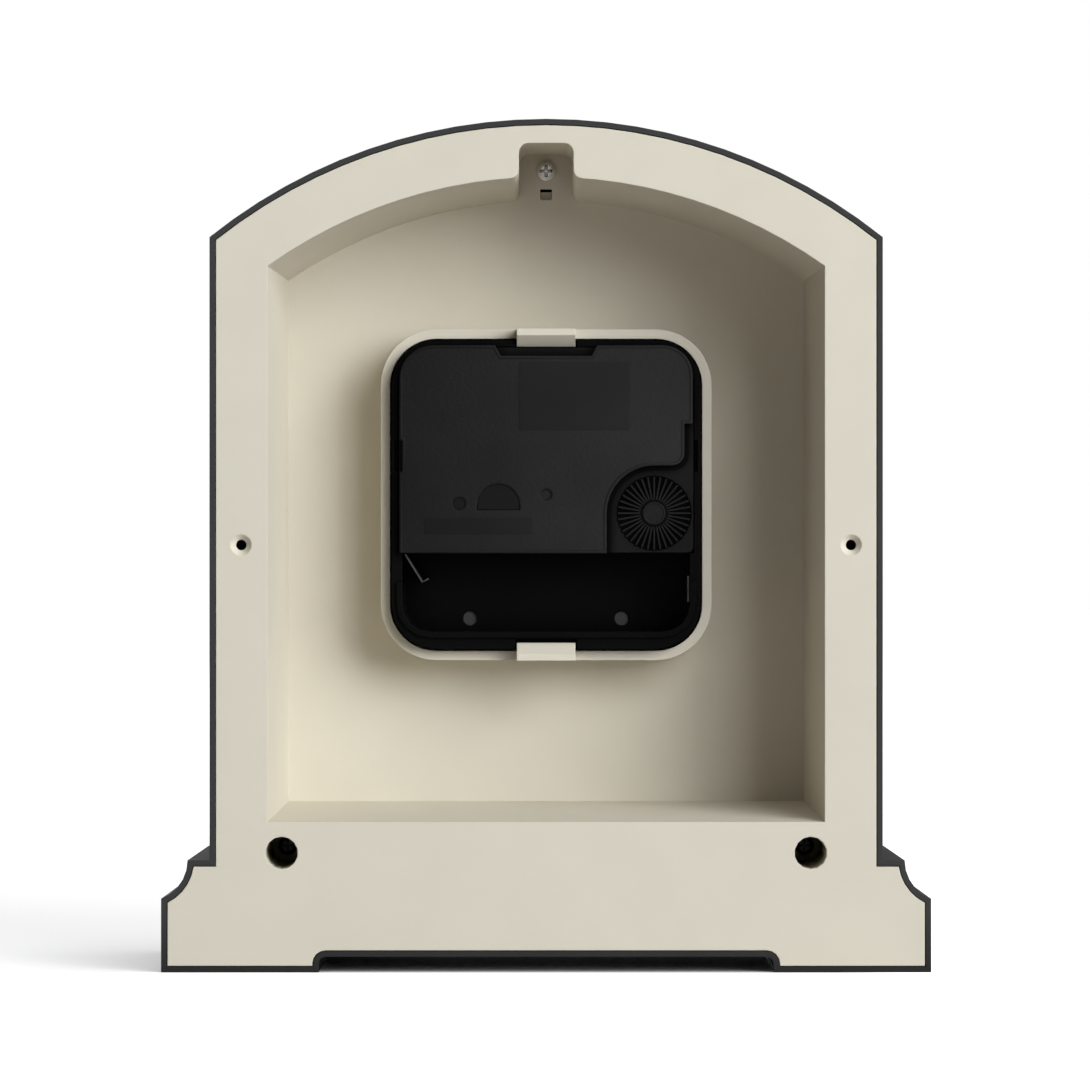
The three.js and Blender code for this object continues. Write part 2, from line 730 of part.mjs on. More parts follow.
// Toothed wheels
function toothedOutline(gear) {
  const pitchRadius = gear.teeth * gear.module / 2;
  const step = 2 * Math.PI / gear.teeth;
  const half = toothShare * step / 2;
  const flankPoint = ([rise, share], middle, side) =>
    polar(pitchRadius + rise * gear.module, middle + side * share * half);
  const points = [];
  for (let tooth = 0; tooth < gear.teeth; tooth++) {
    const middle = gear.turn + tooth * step;
    points.push(...gear.flank.map((level) => flankPoint(level, middle, -1)));
    points.push(...gear.flank.map((level) => flankPoint(level, middle, 1)).reverse());
  }
  return moved(points, gear.at.x, gear.at.z);
}

const wheel = (at, teeth, module, turn = 0) => ({ at, teeth, module, turn, flank: wheelFlank });
const pinion = (at, teeth, module, turn = 0) => ({ at, teeth, module, turn, flank: pinionFlank });

// Turn a gear so that its teeth stand in the gaps of a neighbour that is already placed.
function meshed(gear, neighbour) {
  const bearing = Math.atan2(gear.at.z - neighbour.at.z, gear.at.x - neighbour.at.x);
  const phase = (bearing - neighbour.turn) * neighbour.teeth / (2 * Math.PI);
  return { ...gear, turn: bearing + Math.PI - (0.5 - phase) * 2 * Math.PI / gear.teeth };
}

const cannonGear = pinion(centre, cannonTeeth, motionModule);
const motionGear = meshed(wheel(motion, motionTeeth, motionModule), cannonGear);
const settingGear = meshed(pinion(setting, settingTeeth, motionModule), motionGear);
const hourGear = wheel(centre, hourTeeth, hourModule);
const motionPinion = meshed(pinion(motion, motionPinionTeeth, hourModule), hourGear);
const centreGear = wheel(centre, centreTeeth, centreModule);
const thirdPinion = meshed(pinion(third, thirdPinionTeeth, centreModule), centreGear);
const secondPinion = pinion(centre, secondPinionTeeth, thirdModule);
const thirdGear = meshed(wheel(third, thirdTeeth, thirdModule), secondPinion);
const secondGear = wheel(centre, secondTeeth, secondModule);
const intermediatePinion = meshed(pinion(intermediate, intermediatePinionTeeth, secondModule), secondGear);
const intermediateGear = wheel(intermediate, intermediateTeeth, rotorModule);
const rotorPinion = meshed(pinion(rotor, rotorTeeth, rotorModule), intermediateGear);

const toothed = (gear, name) => plate(toothedOutline(gear), layer(name), layer(name) + gearFace);
const toothedUpTo = (gear, from, to) =>
  plate(toothedOutline(gear), layer(from), layer(to) + gearFace / 2);

// A shaft between a blind hole in a post and a hole in the middle plate
const postTop = (name) => layer(name) - layerGap;
function arbor(at, name) {
  const low = postTop(name) - pivotLength;
  const shoulder = postTop(name) + looseGap;
  return turned([
    [0, low], [pivotRadius, low], [pivotRadius, shoulder], [arborRadius, shoulder],
    [arborRadius, plateLow - seatGap], [pivotRadius, plateLow - seatGap],
    [pivotRadius, plateHigh], [0, plateHigh],
  ], pinSides, at);
}

function hourWheel() {
  const front = hourHandFront - handThickness;
  const pipe = pin(hourPipeRadius, front, layer('hour') + gearFace, boreSides);
  return cut(
    join(pipe, toothed(hourGear, 'hour')),
    pin(hourBore, front - pastFace, layer('motion'), boreSides));
}

function cannonPinion() {
  const front = minuteHandFront - handThickness;
  const tube = pin(cannonRadius, front, layer('centre') + gearFace + 2 * seatGap, boreSides);
  return cut(
    join(tube, toothed(cannonGear, 'motion')),
    pin(cannonBore, front - pastFace, layer('third'), boreSides));
}

function motionWheel() {
  const teeth = join(toothedUpTo(motionPinion, 'hour', 'motion'), toothed(motionGear, 'motion'));
  return cut(teeth, pin(postRadius + runningGap, 0, layer('centre'), boreSides, motion));
}

function centreWheel() {
  const bore = pin(cannonRadius + runningGap, 0, layer('third'), boreSides);
  return cut(toothed(centreGear, 'centre'), bore);
}

function secondWheel() {
  const front = secondHandFront - handThickness;
  const shaft = turned([
    [0, front], [secondArborRadius, front], [secondArborRadius, plateLow - seatGap],
    [pivotRadius, plateLow - seatGap], [pivotRadius, plateHigh], [0, plateHigh],
  ], boreSides);
  return join(shaft, toothedUpTo(secondPinion, 'third', 'second'), toothed(secondGear, 'second'));
}

function thirdWheel() {
  const teeth = join(toothedUpTo(thirdPinion, 'centre', 'third'), toothed(thirdGear, 'third'));
  return join(arbor(third, 'centre'), teeth);
}

function intermediateWheel() {
  const teeth = join(
    toothedUpTo(intermediatePinion, 'second', 'rotor'), toothed(intermediateGear, 'rotor'));
  return join(arbor(intermediate, 'centre'), teeth);
}

function rotorBody() {
  const magnetLow = layer('rotor') + gearFace + looseGap;
  const magnet = pin(magnetRadius, magnetLow, plateLow - looseGap, boreSides, rotor);
  return join(arbor(rotor, 'rotor'), toothed(rotorPinion, 'rotor'), magnet);
}

// Setting wheel: thin radial ribs on a flange that the middle plate keeps in
const flangeTop = plateLow - looseGap;
const flangeLow = flangeTop - settingFlangeThickness;

function settingWheel() {
  const step = 2 * Math.PI / settingRibs;
  const halfAngle = (radius) => Math.asin(settingRibWidth / 2 / radius);
  const ribFoot = settingHubRadius + settingRibWidth;
  const ribs = [];
  for (let rib = 0; rib < settingRibs; rib++) {
    const corner = (radius, side) => polar(radius, rib * step + side * halfAngle(radius));
    ribs.push(corner(ribFoot, -1), corner(settingRadius, -1), corner(settingRadius, 1), corner(ribFoot, 1));
  }
  const ribTop = flangeTop + settingRibHeight;
  const post = postTop('motion');
  const spindle = turned([
    [0, post - pivotLength], [pivotRadius, post - pivotLength], [pivotRadius, post + looseGap],
    [settingShaftRadius, post + looseGap], [settingShaftRadius, flangeLow],
    [settingFlangeRadius, flangeLow], [settingFlangeRadius, flangeTop],
    [settingHubRadius, flangeTop], [settingHubRadius, ribTop + seatGap], [0, ribTop + seatGap],
  ], knobSides, setting);
  const crown = plate(moved(ribs, setting.x, setting.z), flangeTop - seatGap, ribTop);
  return join(spindle, crown, toothed(settingGear, 'motion'));
}

// Movement body
function housing() {
  const box = plate(
    roundedBox(movementHalf, -movementHalf, movementHalf, movementCorner, movementCorner), 0, rimHeight);
  const top = rimHeight + pastFace;
  const innerCorner = movementCorner - housingWall;
  const trainRoom = plate(
    roundedBox(innerHalf, bayTop + dividerThickness, innerHalf, fitGap, innerCorner), housingFloor, top);
  const plateSeat = plate(
    roundedBox(innerHalf, bayTop, innerHalf, fitGap, innerCorner), plateLow - seatGap, top);
  const bay = plate(roundedBox(bayHalf, bayBottom, bayTop, bayCorner, fitGap), housingFloor, top);
  const hookSlots = [-1, 1].map((sign) => {
    const edge = sign * (movementHalf - hookReach - looseGap);
    const past = sign * (movementHalf + pastFace);
    const half = clipHalfWidth + looseGap;
    return plate(rectangle(-half, Math.min(edge, past), half, Math.max(edge, past)), hookSeat, top);
  });
  const latchSlots = plate(
    rectangle(-coverHalf - latchReach, latchLow, coverHalf + latchReach, latchHigh), plateLow, top);
  const drains = [-1, 1].map((side) =>
    pin(drainRadius, -pastFace, housingFloor + pastFace, boreSides,
      { x: side * drainReach, z: bayBottom + drainRise }));
  const wheelPocket = pin(settingFlangeRadius + looseGap, flangeLow - looseGap, top, knobSides, setting);
  const shell = cut(box, trainRoom, plateSeat, bay, ...hookSlots, latchSlots, ...drains, wheelPocket);

  const bush = pin(bushRadius, dialFront - layerGap, housingFloor / 2, boreSides);
  const bushHole = pin(bushBore, dialFront - pastFace, housingFloor + pastFace, boreSides);
  const stand = (at, height, radius = postRadius) => pin(radius, housingFloor / 2, height, pinSides, at);
  const posts = [
    stand(third, postTop('centre')), stand(intermediate, postTop('centre')),
    stand(rotor, postTop('rotor')), stand(setting, postTop('motion'), settingShaftRadius),
    stand(motion, layer('centre') - looseGap),
  ];
  const sockets = [
    [third, 'centre'], [intermediate, 'centre'], [rotor, 'rotor'], [setting, 'motion'],
  ].map(([at, name]) =>
    pin(pivotRadius + runningGap, postTop(name) - pivotLength - looseGap, plateLow, pinSides, at));
  const pegs = [
    { x: boardRight - boardPegInset, z: boardHigh - boardPegInset },
    { x: boardRight - boardPegInset, z: boardLow + boardPegInset },
    { x: boardLeft + boardPegInset, z: boardLow + boardPegInset },
  ].map((at) => stand(at, boardBase - seatGap));
  const pillarReach = innerHalf - innerCorner / 2;
  const pillars = [-1, 1].map((side) =>
    stand({ x: side * pillarReach, z: pillarReach }, plateLow - seatGap, 2 * postRadius));
  const cradle = [coilLeft, coilRight].map((x) => {
    const low = coilHeight - coreHalfWidth;
    const edge = x === coilLeft ? x - coreReach : x + coilFlange / 2;
    return plate(
      rectangle(edge, low, edge + coreReach - coilFlange / 2, low + 2 * coreHalfWidth),
      housingFloor / 2, coilAxis - coreHalfHeight - seatGap);
  });
  const lipOutline = roundedBox(
    bayHalf + bayLipWidth, bayBottom - bayLipWidth, bayTop - bayLipDrop, bayCorner + bayLipWidth, fitGap);
  const lip = plate(lipOutline, rimHeight - seatGap, rimHeight + bayLipHeight);
  const lipCut = plate(
    roundedBox(bayHalf, bayBottom, bayTop, bayCorner, fitGap), housingFloor, top + pastFace);
  return cut(
    join(cut(shell, bushHole), cut(bush, bushHole), ...posts, ...pegs, ...pillars, ...cradle,
      cut(lip, lipCut, hookSlots[0])),
    ...sockets);
}

// Points here are written as seen from behind and then turned to the dial side.
function coverOutline() {
  const stepX = coverHalf - coverStepIn;
  const shelf = setting.z + settingRadius + settingCoverGap;
  const knobX = -setting.x;
  const corner = (x, radius, from, to) => arc(x, coverTop - radius, radius, from, to, cornerSteps);
  return flipped([
    point(-coverHalf, bayTop),
    point(knobX - settingRadius - settingCoverGap, bayTop),
    ...arc(knobX, setting.z, settingRadius + settingCoverGap, Math.PI, Math.PI / 2, 2 * cornerSteps),
    ...arc(stepX - coverTailCorner, shelf + coverTailCorner, coverTailCorner, -Math.PI / 2, 0, cornerSteps),
    point(stepX, coverStepHeight),
    point(coverHalf, coverStepHeight),
    ...corner(coverHalf - coverRightCorner, coverRightCorner, 0, Math.PI / 2),
    point(coverNotchHalf + coverNotchSlant, coverTop),
    point(coverNotchHalf, coverTop - coverNotchDepth),
    point(-coverNotchHalf, coverTop - coverNotchDepth),
    point(-coverNotchHalf - coverNotchSlant, coverTop),
    ...corner(coverLeftCorner - coverHalf, coverLeftCorner, Math.PI / 2, Math.PI),
  ]);
}

function cover() {
  const body = plate(coverOutline(), coverLow, coverHigh);
  const mark = (outline) => plate(flipped(outline), coverHigh - markDepth, coverHigh + pastFace);
  const halfMoon = arc(0, halfMoonStep, halfMoonRadius, 0, Math.PI, 2 * cornerSteps);
  const moonBase = [point(-halfMoonRadius, 0), point(halfMoonRadius, 0)];
  const marks = [
    mark(moved([...moonBase, ...halfMoon], -halfMoonSide, -halfMoonDrop)),
    mark(circle(plugRadius, pinSides, -plugSide, -plugDrop)),
    mark(circle(dimpleRadius, pinSides)),
  ];
  const latch = plate(
    rectangle(coverHalf - latchNotch, latchLow, coverHalf + pastFace, latchHigh),
    coverLow - pastFace, coverHigh + pastFace);
  return cut(body, ...marks, latch);
}

function middlePlate() {
  const half = innerHalf - fitGap;
  const opening = circle(settingRadius + 2 * seatGap, knobSides, setting.x, setting.z);
  const holes = [centre, third, intermediate, rotor].map((at) =>
    circle(pivotRadius + runningGap, pinSides, at.x, at.z));
  const topCorner = movementCorner - housingWall - fitGap;
  const outline = roundedBox(half, bayTop + fitGap, half, coverTailCorner / 2, topCorner);
  return plate(outline, plateLow, plateHigh, [opening, ...holes]);
}

// Step motor and drive
const acrossCoil = (radius) => circle(radius, boreSides, coilAxis, coilHeight);
const coreProfile = (gap) => moved(
  rectangle(-coreHalfHeight - gap, -coreHalfWidth - gap, coreHalfHeight + gap, coreHalfWidth + gap),
  coilAxis, coilHeight);
const spoolRadius = Math.hypot(coreHalfHeight + seatGap, coreHalfWidth + seatGap) + coilSpoolWall;

function statorPlate() {
  const top = statorLow + statorThickness;
  const hole = circle(magnetRadius + 2 * looseGap, boreSides, rotor.x, rotor.z);
  const eye = plate(
    circle(magnetRadius + 2 * looseGap + statorRing, boreSides, rotor.x, rotor.z), statorLow, top);
  const from = point(rotor.x, rotor.z);
  const leftEnd = coreEnds[0] + statorArm / 2;
  const rightEnd = coreEnds[1] - statorArm / 2;
  const bend = point(rightEnd, coilHeight - coilFlangeRadius - statorArm);
  const arms = [
    [from, point(leftEnd, coilHeight)],
    [from, bend, point(rightEnd, coilHeight)],
  ].map((line) => plate(strip(line, statorArm), statorLow, top));
  return cut(join(eye, ...arms), plate(hole, statorLow - pastFace, top + pastFace));
}

function coilCore() {
  return bar(coreProfile(0), coreEnds[0], coreEnds[1]);
}

function coilBobbin() {
  const spool = bar(acrossCoil(spoolRadius), coilLeft, coilRight);
  const flanges = [coilLeft, coilRight - coilFlange].map((x) =>
    bar(acrossCoil(coilFlangeRadius), x, x + coilFlange));
  const bore = bar(coreProfile(seatGap), coilLeft - pastFace, coilRight + pastFace);
  return cut(join(spool, ...flanges), bore);
}

function coilWinding() {
  const outer = acrossCoil(coilFlangeRadius - looseGap);
  const inner = acrossCoil(spoolRadius + seatGap);
  return bar(outer, coilLeft + coilFlange + seatGap, coilRight - coilFlange - seatGap, [inner]);
}

function crystalCan() {
  const y = boardTop + seatGap + crystalRadius;
  const left = (boardLeft + boardRight - crystalLength) / 2;
  return bar(circle(crystalRadius, pinSides, y, boardHigh - crystalInset), left, left + crystalLength);
}

function circuitBoard() {
  return plate(rectangle(boardLeft, boardLow, boardRight, boardHigh), boardBase, boardTop);
}

function controlChip() {
  const low = boardTop + seatGap;
  const at = { x: (boardLeft + boardRight) / 2, z: (boardLow + boardHigh) / 2 };
  return turned([
    [0, low], [chipRadius, low], [chipShoulder * chipRadius, low + chipShoulder * chipHeight],
    [0, low + chipHeight],
  ], boreSides, at);
}

function positiveContact() {
  const wall = -(bayHalf - seatGap);
  const low = bayBottom + bayCorner + positiveRise;
  return plate(
    rectangle(wall, low, wall + contactThickness, bayTop - positiveDrop), contactLow, hookSeat);
}

function negativeContact() {
  const line = [
    point(bayHalf - leafRootIn, bayTop - 2 * seatGap),
    point(bayHalf - leafBendIn, bayTop - leafBendDrop),
    point(bayHalf - leafTipIn, bayTop - leafTipDrop),
  ];
  return plate(strip(line, contactThickness), contactLow, hookSeat);
}

place(clock, 'front_case', frontCase(), anthracite);
place(clock, 'back_shell', backShell(), cream);
place(clock, 'movement_surround', movementSurround(), cream);
place(clock, 'top_screw', screw(topScrew, recessDepth), steel);
place(clock, 'left_screw', screw(leftScrew, wellDepth), steel);
place(clock, 'right_screw', screw(rightScrew, wellDepth), steel);
place(clock, 'bezel_ring', bezelRing(), anthracite);
place(clock, 'lens', pin(lensRadius, lensFront, lensRear, windowSides, dialCentre), clear);
place(clock, 'spacer_ring', spacerRing(), anthracite);
place(clock, 'dial', dial(), ivory);

place(movement, 'hour_hand', hourHand(), black);
place(movement, 'minute_hand', minuteHand(), black);
place(movement, 'second_hand', secondHand(), black);
place(movement, 'movement_housing', housing(), black);
place(movement, 'movement_cover', cover(), charcoal);
place(movement, 'middle_plate', middlePlate(), black);
place(movement, 'setting_wheel', settingWheel(), black);
place(movement, 'hour_wheel', hourWheel(), white);
place(movement, 'cannon_pinion', cannonPinion(), white);
place(movement, 'motion_wheel', motionWheel(), white);
place(movement, 'centre_wheel', centreWheel(), white);
place(movement, 'third_wheel', thirdWheel(), white);
place(movement, 'second_wheel', secondWheel(), white);
place(movement, 'intermediate_wheel', intermediateWheel(), white);
place(movement, 'rotor', rotorBody(), darkSteel);
place(movement, 'stator', statorPlate(), steel);
place(movement, 'coil_core', coilCore(), steel);
place(movement, 'coil_bobbin', coilBobbin(), white);
place(movement, 'coil_winding', coilWinding(), copper);
place(movement, 'circuit_board', circuitBoard(), green);
place(movement, 'quartz_crystal', crystalCan(), steel);
place(movement, 'control_chip', controlChip(), black);
place(movement, 'positive_contact', positiveContact(), steel);
place(movement, 'negative_contact', negativeContact(), steel);

export default clock;
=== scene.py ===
import math

import bpy
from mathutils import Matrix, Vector


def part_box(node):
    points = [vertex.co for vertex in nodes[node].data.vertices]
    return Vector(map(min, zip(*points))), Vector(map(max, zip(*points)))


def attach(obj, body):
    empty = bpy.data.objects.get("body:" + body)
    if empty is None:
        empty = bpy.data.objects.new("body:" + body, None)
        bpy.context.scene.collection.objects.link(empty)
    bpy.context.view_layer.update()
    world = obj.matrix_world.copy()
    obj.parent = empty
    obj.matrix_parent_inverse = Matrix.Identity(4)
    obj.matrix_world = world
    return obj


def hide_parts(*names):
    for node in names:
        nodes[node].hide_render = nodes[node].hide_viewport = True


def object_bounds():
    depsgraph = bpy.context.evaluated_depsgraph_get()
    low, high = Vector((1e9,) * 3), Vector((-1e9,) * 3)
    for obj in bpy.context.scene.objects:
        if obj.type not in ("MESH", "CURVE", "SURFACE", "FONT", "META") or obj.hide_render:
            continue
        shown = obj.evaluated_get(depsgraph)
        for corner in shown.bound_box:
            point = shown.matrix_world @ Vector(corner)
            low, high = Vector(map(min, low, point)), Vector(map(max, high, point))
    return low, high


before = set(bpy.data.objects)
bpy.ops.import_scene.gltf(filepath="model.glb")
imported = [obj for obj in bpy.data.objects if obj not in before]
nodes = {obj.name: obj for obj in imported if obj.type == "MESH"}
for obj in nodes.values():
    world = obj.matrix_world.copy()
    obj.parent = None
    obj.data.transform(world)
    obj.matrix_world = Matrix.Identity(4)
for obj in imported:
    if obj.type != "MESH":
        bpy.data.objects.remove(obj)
cad_low, cad_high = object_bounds()
scene = bpy.context.scene
scene.view_settings.view_transform = "Standard"
MM = 0.001

# Camera behind the clock, level, a little above half its height
CAMERA_ASIDE, CAMERA_DISTANCE, CAMERA_HEIGHT = 0.2 * MM, 1085 * MM, 75.9 * MM
camera_data = bpy.data.cameras.new("camera")
camera_data.lens = 201.75
camera_data.sensor_width = 36
camera_data.clip_end = 20
camera = bpy.data.objects.new("camera", camera_data)
camera.location = (CAMERA_ASIDE, cad_high.y + CAMERA_DISTANCE, CAMERA_HEIGHT)
camera.rotation_euler = (math.radians(90), 0, math.radians(180))
scene.collection.objects.link(camera)
scene.camera = camera


# Materials
NOISE_LOW, NOISE_HIGH = 0.3, 0.7  # most of a noise texture lies between these
WAVE_LENGTH = 0.314  # of a wave texture at scale 1
PAINTED_GROOVE_CLEAR = 0.7  # share of open sky at which painted groove shade is black
SHADER_SAMPLES = 6
MOTTLE_SIZE, ROUGH_SWING = 14, 0.05  # of moulded plastic
TARNISH_SIZE, BRUSH_SIZE, BRUSH_DEPTH = 2.2, 0.35, 0.004  # of metal
BRUSH_SMOOTHER, BRUSH_ROUGHER = 0.08, 0.12
WARM = (1.04, 1, 0.95)


class Tree:
    """Short steps for a node tree. Places are object coordinates, and sizes are in millimetres."""

    def __init__(self, tree):
        self.tree = tree

    def node(self, kind, **settings):
        made = self.tree.nodes.new(kind)
        for key, value in settings.items():
            setattr(made, key, value)
        return made

    def link(self, output, socket):
        self.tree.links.new(output, socket)

    def place(self):
        return self.node("ShaderNodeTexCoord").outputs["Object"]

    def combined(self, operation, first, second):
        made = self.node("ShaderNodeMath", operation=operation)
        self.link(first, made.inputs[0])
        self.link(second, made.inputs[1])
        return made.outputs["Value"]

    def spread(self, value, low, high, from_low=NOISE_LOW, from_high=NOISE_HIGH, curve="LINEAR"):
        made = self.node("ShaderNodeMapRange", interpolation_type=curve)
        self.link(value, made.inputs["Value"])
        made.inputs["From Min"].default_value = from_low
        made.inputs["From Max"].default_value = from_high
        made.inputs["To Min"].default_value = low
        made.inputs["To Max"].default_value = high
        return made.outputs["Result"]

    def seen(self):
        """1 for what the camera, mirrors and glass see, and 0 for light that falls on the object."""
        path = self.node("ShaderNodeLightPath").outputs
        mirrored = self.combined("MAXIMUM", path["Is Glossy Ray"], path["Is Transmission Ray"])
        return self.combined("MAXIMUM", path["Is Camera Ray"], mirrored)


class Shader(Tree):
    """A surface material."""

    def __init__(self, name):
        self.material = bpy.data.materials.new(name)
        self.material.use_nodes = True
        super().__init__(self.material.node_tree)
        self.bsdf = self.tree.nodes["Principled BSDF"]
        self.normal = None

    def noise(self, size, detail=2.0, stretch=(1, 1, 1)):
        scaled = self.node("ShaderNodeVectorMath", operation="MULTIPLY")
        self.link(self.place(), scaled.inputs[0])
        scaled.inputs[1].default_value = stretch
        made = self.node("ShaderNodeTexNoise")
        self.link(scaled.outputs["Vector"], made.inputs["Vector"])
        made.inputs["Scale"].default_value = 1 / (size * MM)
        made.inputs["Detail"].default_value = detail
        return made.outputs["Fac"]

    def waves(self, size, axis, distortion):
        made = self.node("ShaderNodeTexWave", bands_direction=axis)
        self.link(self.place(), made.inputs["Vector"])
        made.inputs["Scale"].default_value = WAVE_LENGTH / (size * MM)
        made.inputs["Distortion"].default_value = distortion
        return made.outputs["Fac"]

    def tones(self, value, first, second):
        made = self.node("ShaderNodeMix", data_type="RGBA")
        self.link(self.spread(value, 0, 1), made.inputs["Factor"])
        made.inputs["A"].default_value = (*first, 1)
        made.inputs["B"].default_value = (*second, 1)
        return made.outputs["Result"]

    def colour(self, output, painted_shade_reach=0, painted_groove_shade=0):
        """The colour with painted shade: darker in crevices and black in grooves of about the given sizes,
        by how much nearby surfaces hide the sky.
        """
        if painted_shade_reach:
            made = self.node("ShaderNodeAmbientOcclusion", samples=SHADER_SAMPLES)
            made.inputs["Distance"].default_value = painted_shade_reach * MM
            self.link(output, made.inputs["Color"])
            output = made.outputs["Color"]
        if painted_groove_shade:
            open_sky = self.node("ShaderNodeAmbientOcclusion", samples=SHADER_SAMPLES)
            open_sky.inputs["Distance"].default_value = painted_groove_shade * MM
            made = self.node("ShaderNodeMix", data_type="RGBA")
            self.link(self.spread(open_sky.outputs["AO"], 0, 1, PAINTED_GROOVE_CLEAR, 1), made.inputs["Factor"])
            made.inputs["A"].default_value = (0, 0, 0, 1)
            self.link(output, made.inputs["B"])
            output = made.outputs["Result"]
        self.link(output, self.bsdf.inputs["Base Color"])

    def faded(self, output, left, right, reach):
        """The colour times a factor that goes from left to right over twice the reach, as painted light.
        """
        axes = self.node("ShaderNodeSeparateXYZ")
        self.link(self.place(), axes.inputs["Vector"])
        made = self.node("ShaderNodeVectorMath", operation="SCALE")
        self.link(output, made.inputs[0])
        factor = self.spread(axes.outputs["X"], left, right, reach * MM, -reach * MM)
        self.link(factor, made.inputs["Scale"])
        return made.outputs["Vector"]

    def rough(self, value, low, high):
        self.link(self.spread(value, low, high), self.bsdf.inputs["Roughness"])

    def rounded_edges(self, radius):
        made = self.node("ShaderNodeBevel", samples=SHADER_SAMPLES)
        made.inputs["Radius"].default_value = radius * MM
        self.normal = made.outputs["Normal"]

    def bump(self, height, depth):
        made = self.node("ShaderNodeBump")
        self.link(height, made.inputs["Height"])
        made.inputs["Distance"].default_value = depth * MM
        if self.normal:
            self.link(self.normal, made.inputs["Normal"])
        self.link(made.outputs["Normal"], self.bsdf.inputs["Normal"])

    def constant(self, **values):
        for name, value in values.items():
            self.bsdf.inputs[name.replace("_", " ")].default_value = value


def moulded(name, first, second, roughness, grain, depth, specular,
            edge=0.15, painted_shade_reach=0, painted_groove_shade=0, painted_light=None):
    shader = Shader(name)
    shader.rounded_edges(edge)
    colour = shader.tones(shader.noise(size=MOTTLE_SIZE, detail=3), first, second)
    shader.colour(shader.faded(colour, *painted_light) if painted_light else colour, painted_shade_reach, painted_groove_shade)
    fine = shader.noise(size=grain, detail=3)
    shader.rough(fine, roughness - ROUGH_SWING, roughness + ROUGH_SWING)
    shader.bump(fine, depth)
    shader.constant(Specular_IOR_Level=specular)
    return shader.material


# Metal carries painted shade in its hollows unless its shade reach is 0.
def metal(name, first, second, roughness, stretch, painted_shade_reach=0.4, painted_groove_shade=0, metallic=1.0):
    shader = Shader(name)
    brushed = shader.noise(size=BRUSH_SIZE, detail=3, stretch=stretch)
    shader.colour(shader.tones(shader.noise(size=TARNISH_SIZE, detail=3), first, second), painted_shade_reach, painted_groove_shade)
    shader.rough(brushed, roughness - BRUSH_SMOOTHER, roughness + BRUSH_ROUGHER)
    shader.bump(brushed, BRUSH_DEPTH)
    shader.constant(Metallic=metallic)
    return shader.material


def winding():
    shader = Shader("copper_winding")
    turns = shader.waves(size=0.22, axis="X", distortion=0.4)
    shader.colour(shader.tones(turns, (0.20, 0.035, 0.010), (0.62, 0.20, 0.07)))
    shader.rough(turns, 0.45, 0.25)
    shader.bump(turns, depth=0.06)
    shader.constant(Metallic=1.0)
    return shader.material


def board():
    shader = Shader("circuit_board")
    tracks = shader.waves(size=1.7, axis="Z", distortion=6.0)
    shader.colour(shader.tones(tracks, (0.012, 0.060, 0.022), (0.030, 0.120, 0.045)))
    shader.rough(shader.noise(size=0.8), 0.30, 0.45)
    shader.bump(tracks, depth=0.03)
    return shader.material


def card():
    shader = Shader("dial_card")
    fibre = shader.noise(size=0.5, detail=4, stretch=(1, 1, 0.25))
    stains = shader.noise(size=9, detail=4)
    shader.colour(shader.tones(stains, (0.76, 0.71, 0.58), (0.82, 0.78, 0.66)))
    shader.rough(fibre, 0.52, 0.66)
    shader.bump(fibre, depth=0.006)
    shader.constant(Specular_IOR_Level=0.25)
    return shader.material


def glass():
    shader = Shader("clear_lens")
    shader.rough(shader.noise(size=20, detail=3), 0.0, 0.03)
    shader.constant(Base_Color=(0.97, 0.98, 0.98, 1), Transmission_Weight=1.0, IOR=1.45)
    return shader.material


def grey(level):
    """A grey that is a little warm."""
    return tuple(part * level for part in WARM)


COVER_PAINTED_LIGHT = (0.7, 1.75, 24)  # painted light, brighter on the lamps' side: factors at the camera's left and right, and their reach
# A shade reach in a material below paints shade into its colour: darker in hollows and corners nearby, and
# black in narrow grooves.
CREAM = moulded(
    "cream_plastic", (0.580, 0.530, 0.426), (0.600, 0.550, 0.442),
    roughness=0.50, grain=0.32, depth=0.004, specular=0.1, edge=0.25)
# Painted shade darkens the case's ledges and hollows.
CASE = moulded(
    "anthracite_plastic", grey(0.036), grey(0.041),
    roughness=0.70, grain=0.40, depth=0.006, specular=0.05, edge=0.2, painted_shade_reach=12)
BLACK = moulded(
    "black_plastic", grey(0.0026), grey(0.0034),
    roughness=0.34, grain=0.9, depth=0.003, specular=0.015, edge=0.3, painted_shade_reach=6)
SATIN = moulded(
    "black_satin_plastic", grey(0.0100), grey(0.0120),
    roughness=0.46, grain=0.20, depth=0.008, specular=0.04, edge=0.1, painted_shade_reach=2)
# Painted groove shade blackens the plate along the walls beside it.
PLATE = moulded(
    "plate_plastic", grey(0.0072), grey(0.0086),
    roughness=0.46, grain=0.20, depth=0.008, specular=0.04, edge=0.1, painted_groove_shade=2.2)
COVER = moulded(
    "cover_plastic", grey(0.0096), grey(0.0124),
    roughness=0.46, grain=0.75, depth=0.10, specular=0.05, edge=0.5, painted_shade_reach=2, painted_light=COVER_PAINTED_LIGHT)
PANEL = moulded(
    "cover_panel_plastic", grey(0.0086), grey(0.0104),
    roughness=0.42, grain=0.35, depth=0.004, specular=0.04, painted_light=COVER_PAINTED_LIGHT)
INSERT = moulded(
    "cover_insert_plastic", grey(0.0060), grey(0.0074),
    roughness=0.42, grain=0.35, depth=0.004, specular=0.04)
DRAIN = moulded(
    "drain_plastic", grey(0.032), grey(0.044), roughness=0.48, grain=0.25, depth=0.006, specular=0.12)
NYLON = moulded(
    "gear_plastic", (0.72, 0.70, 0.63), (0.80, 0.78, 0.72),
    roughness=0.38, grain=0.5, depth=0.006, specular=0.45)
EPOXY = moulded(
    "chip_epoxy", grey(0.008), grey(0.016), roughness=0.30, grain=0.6, depth=0.03, specular=0.45)
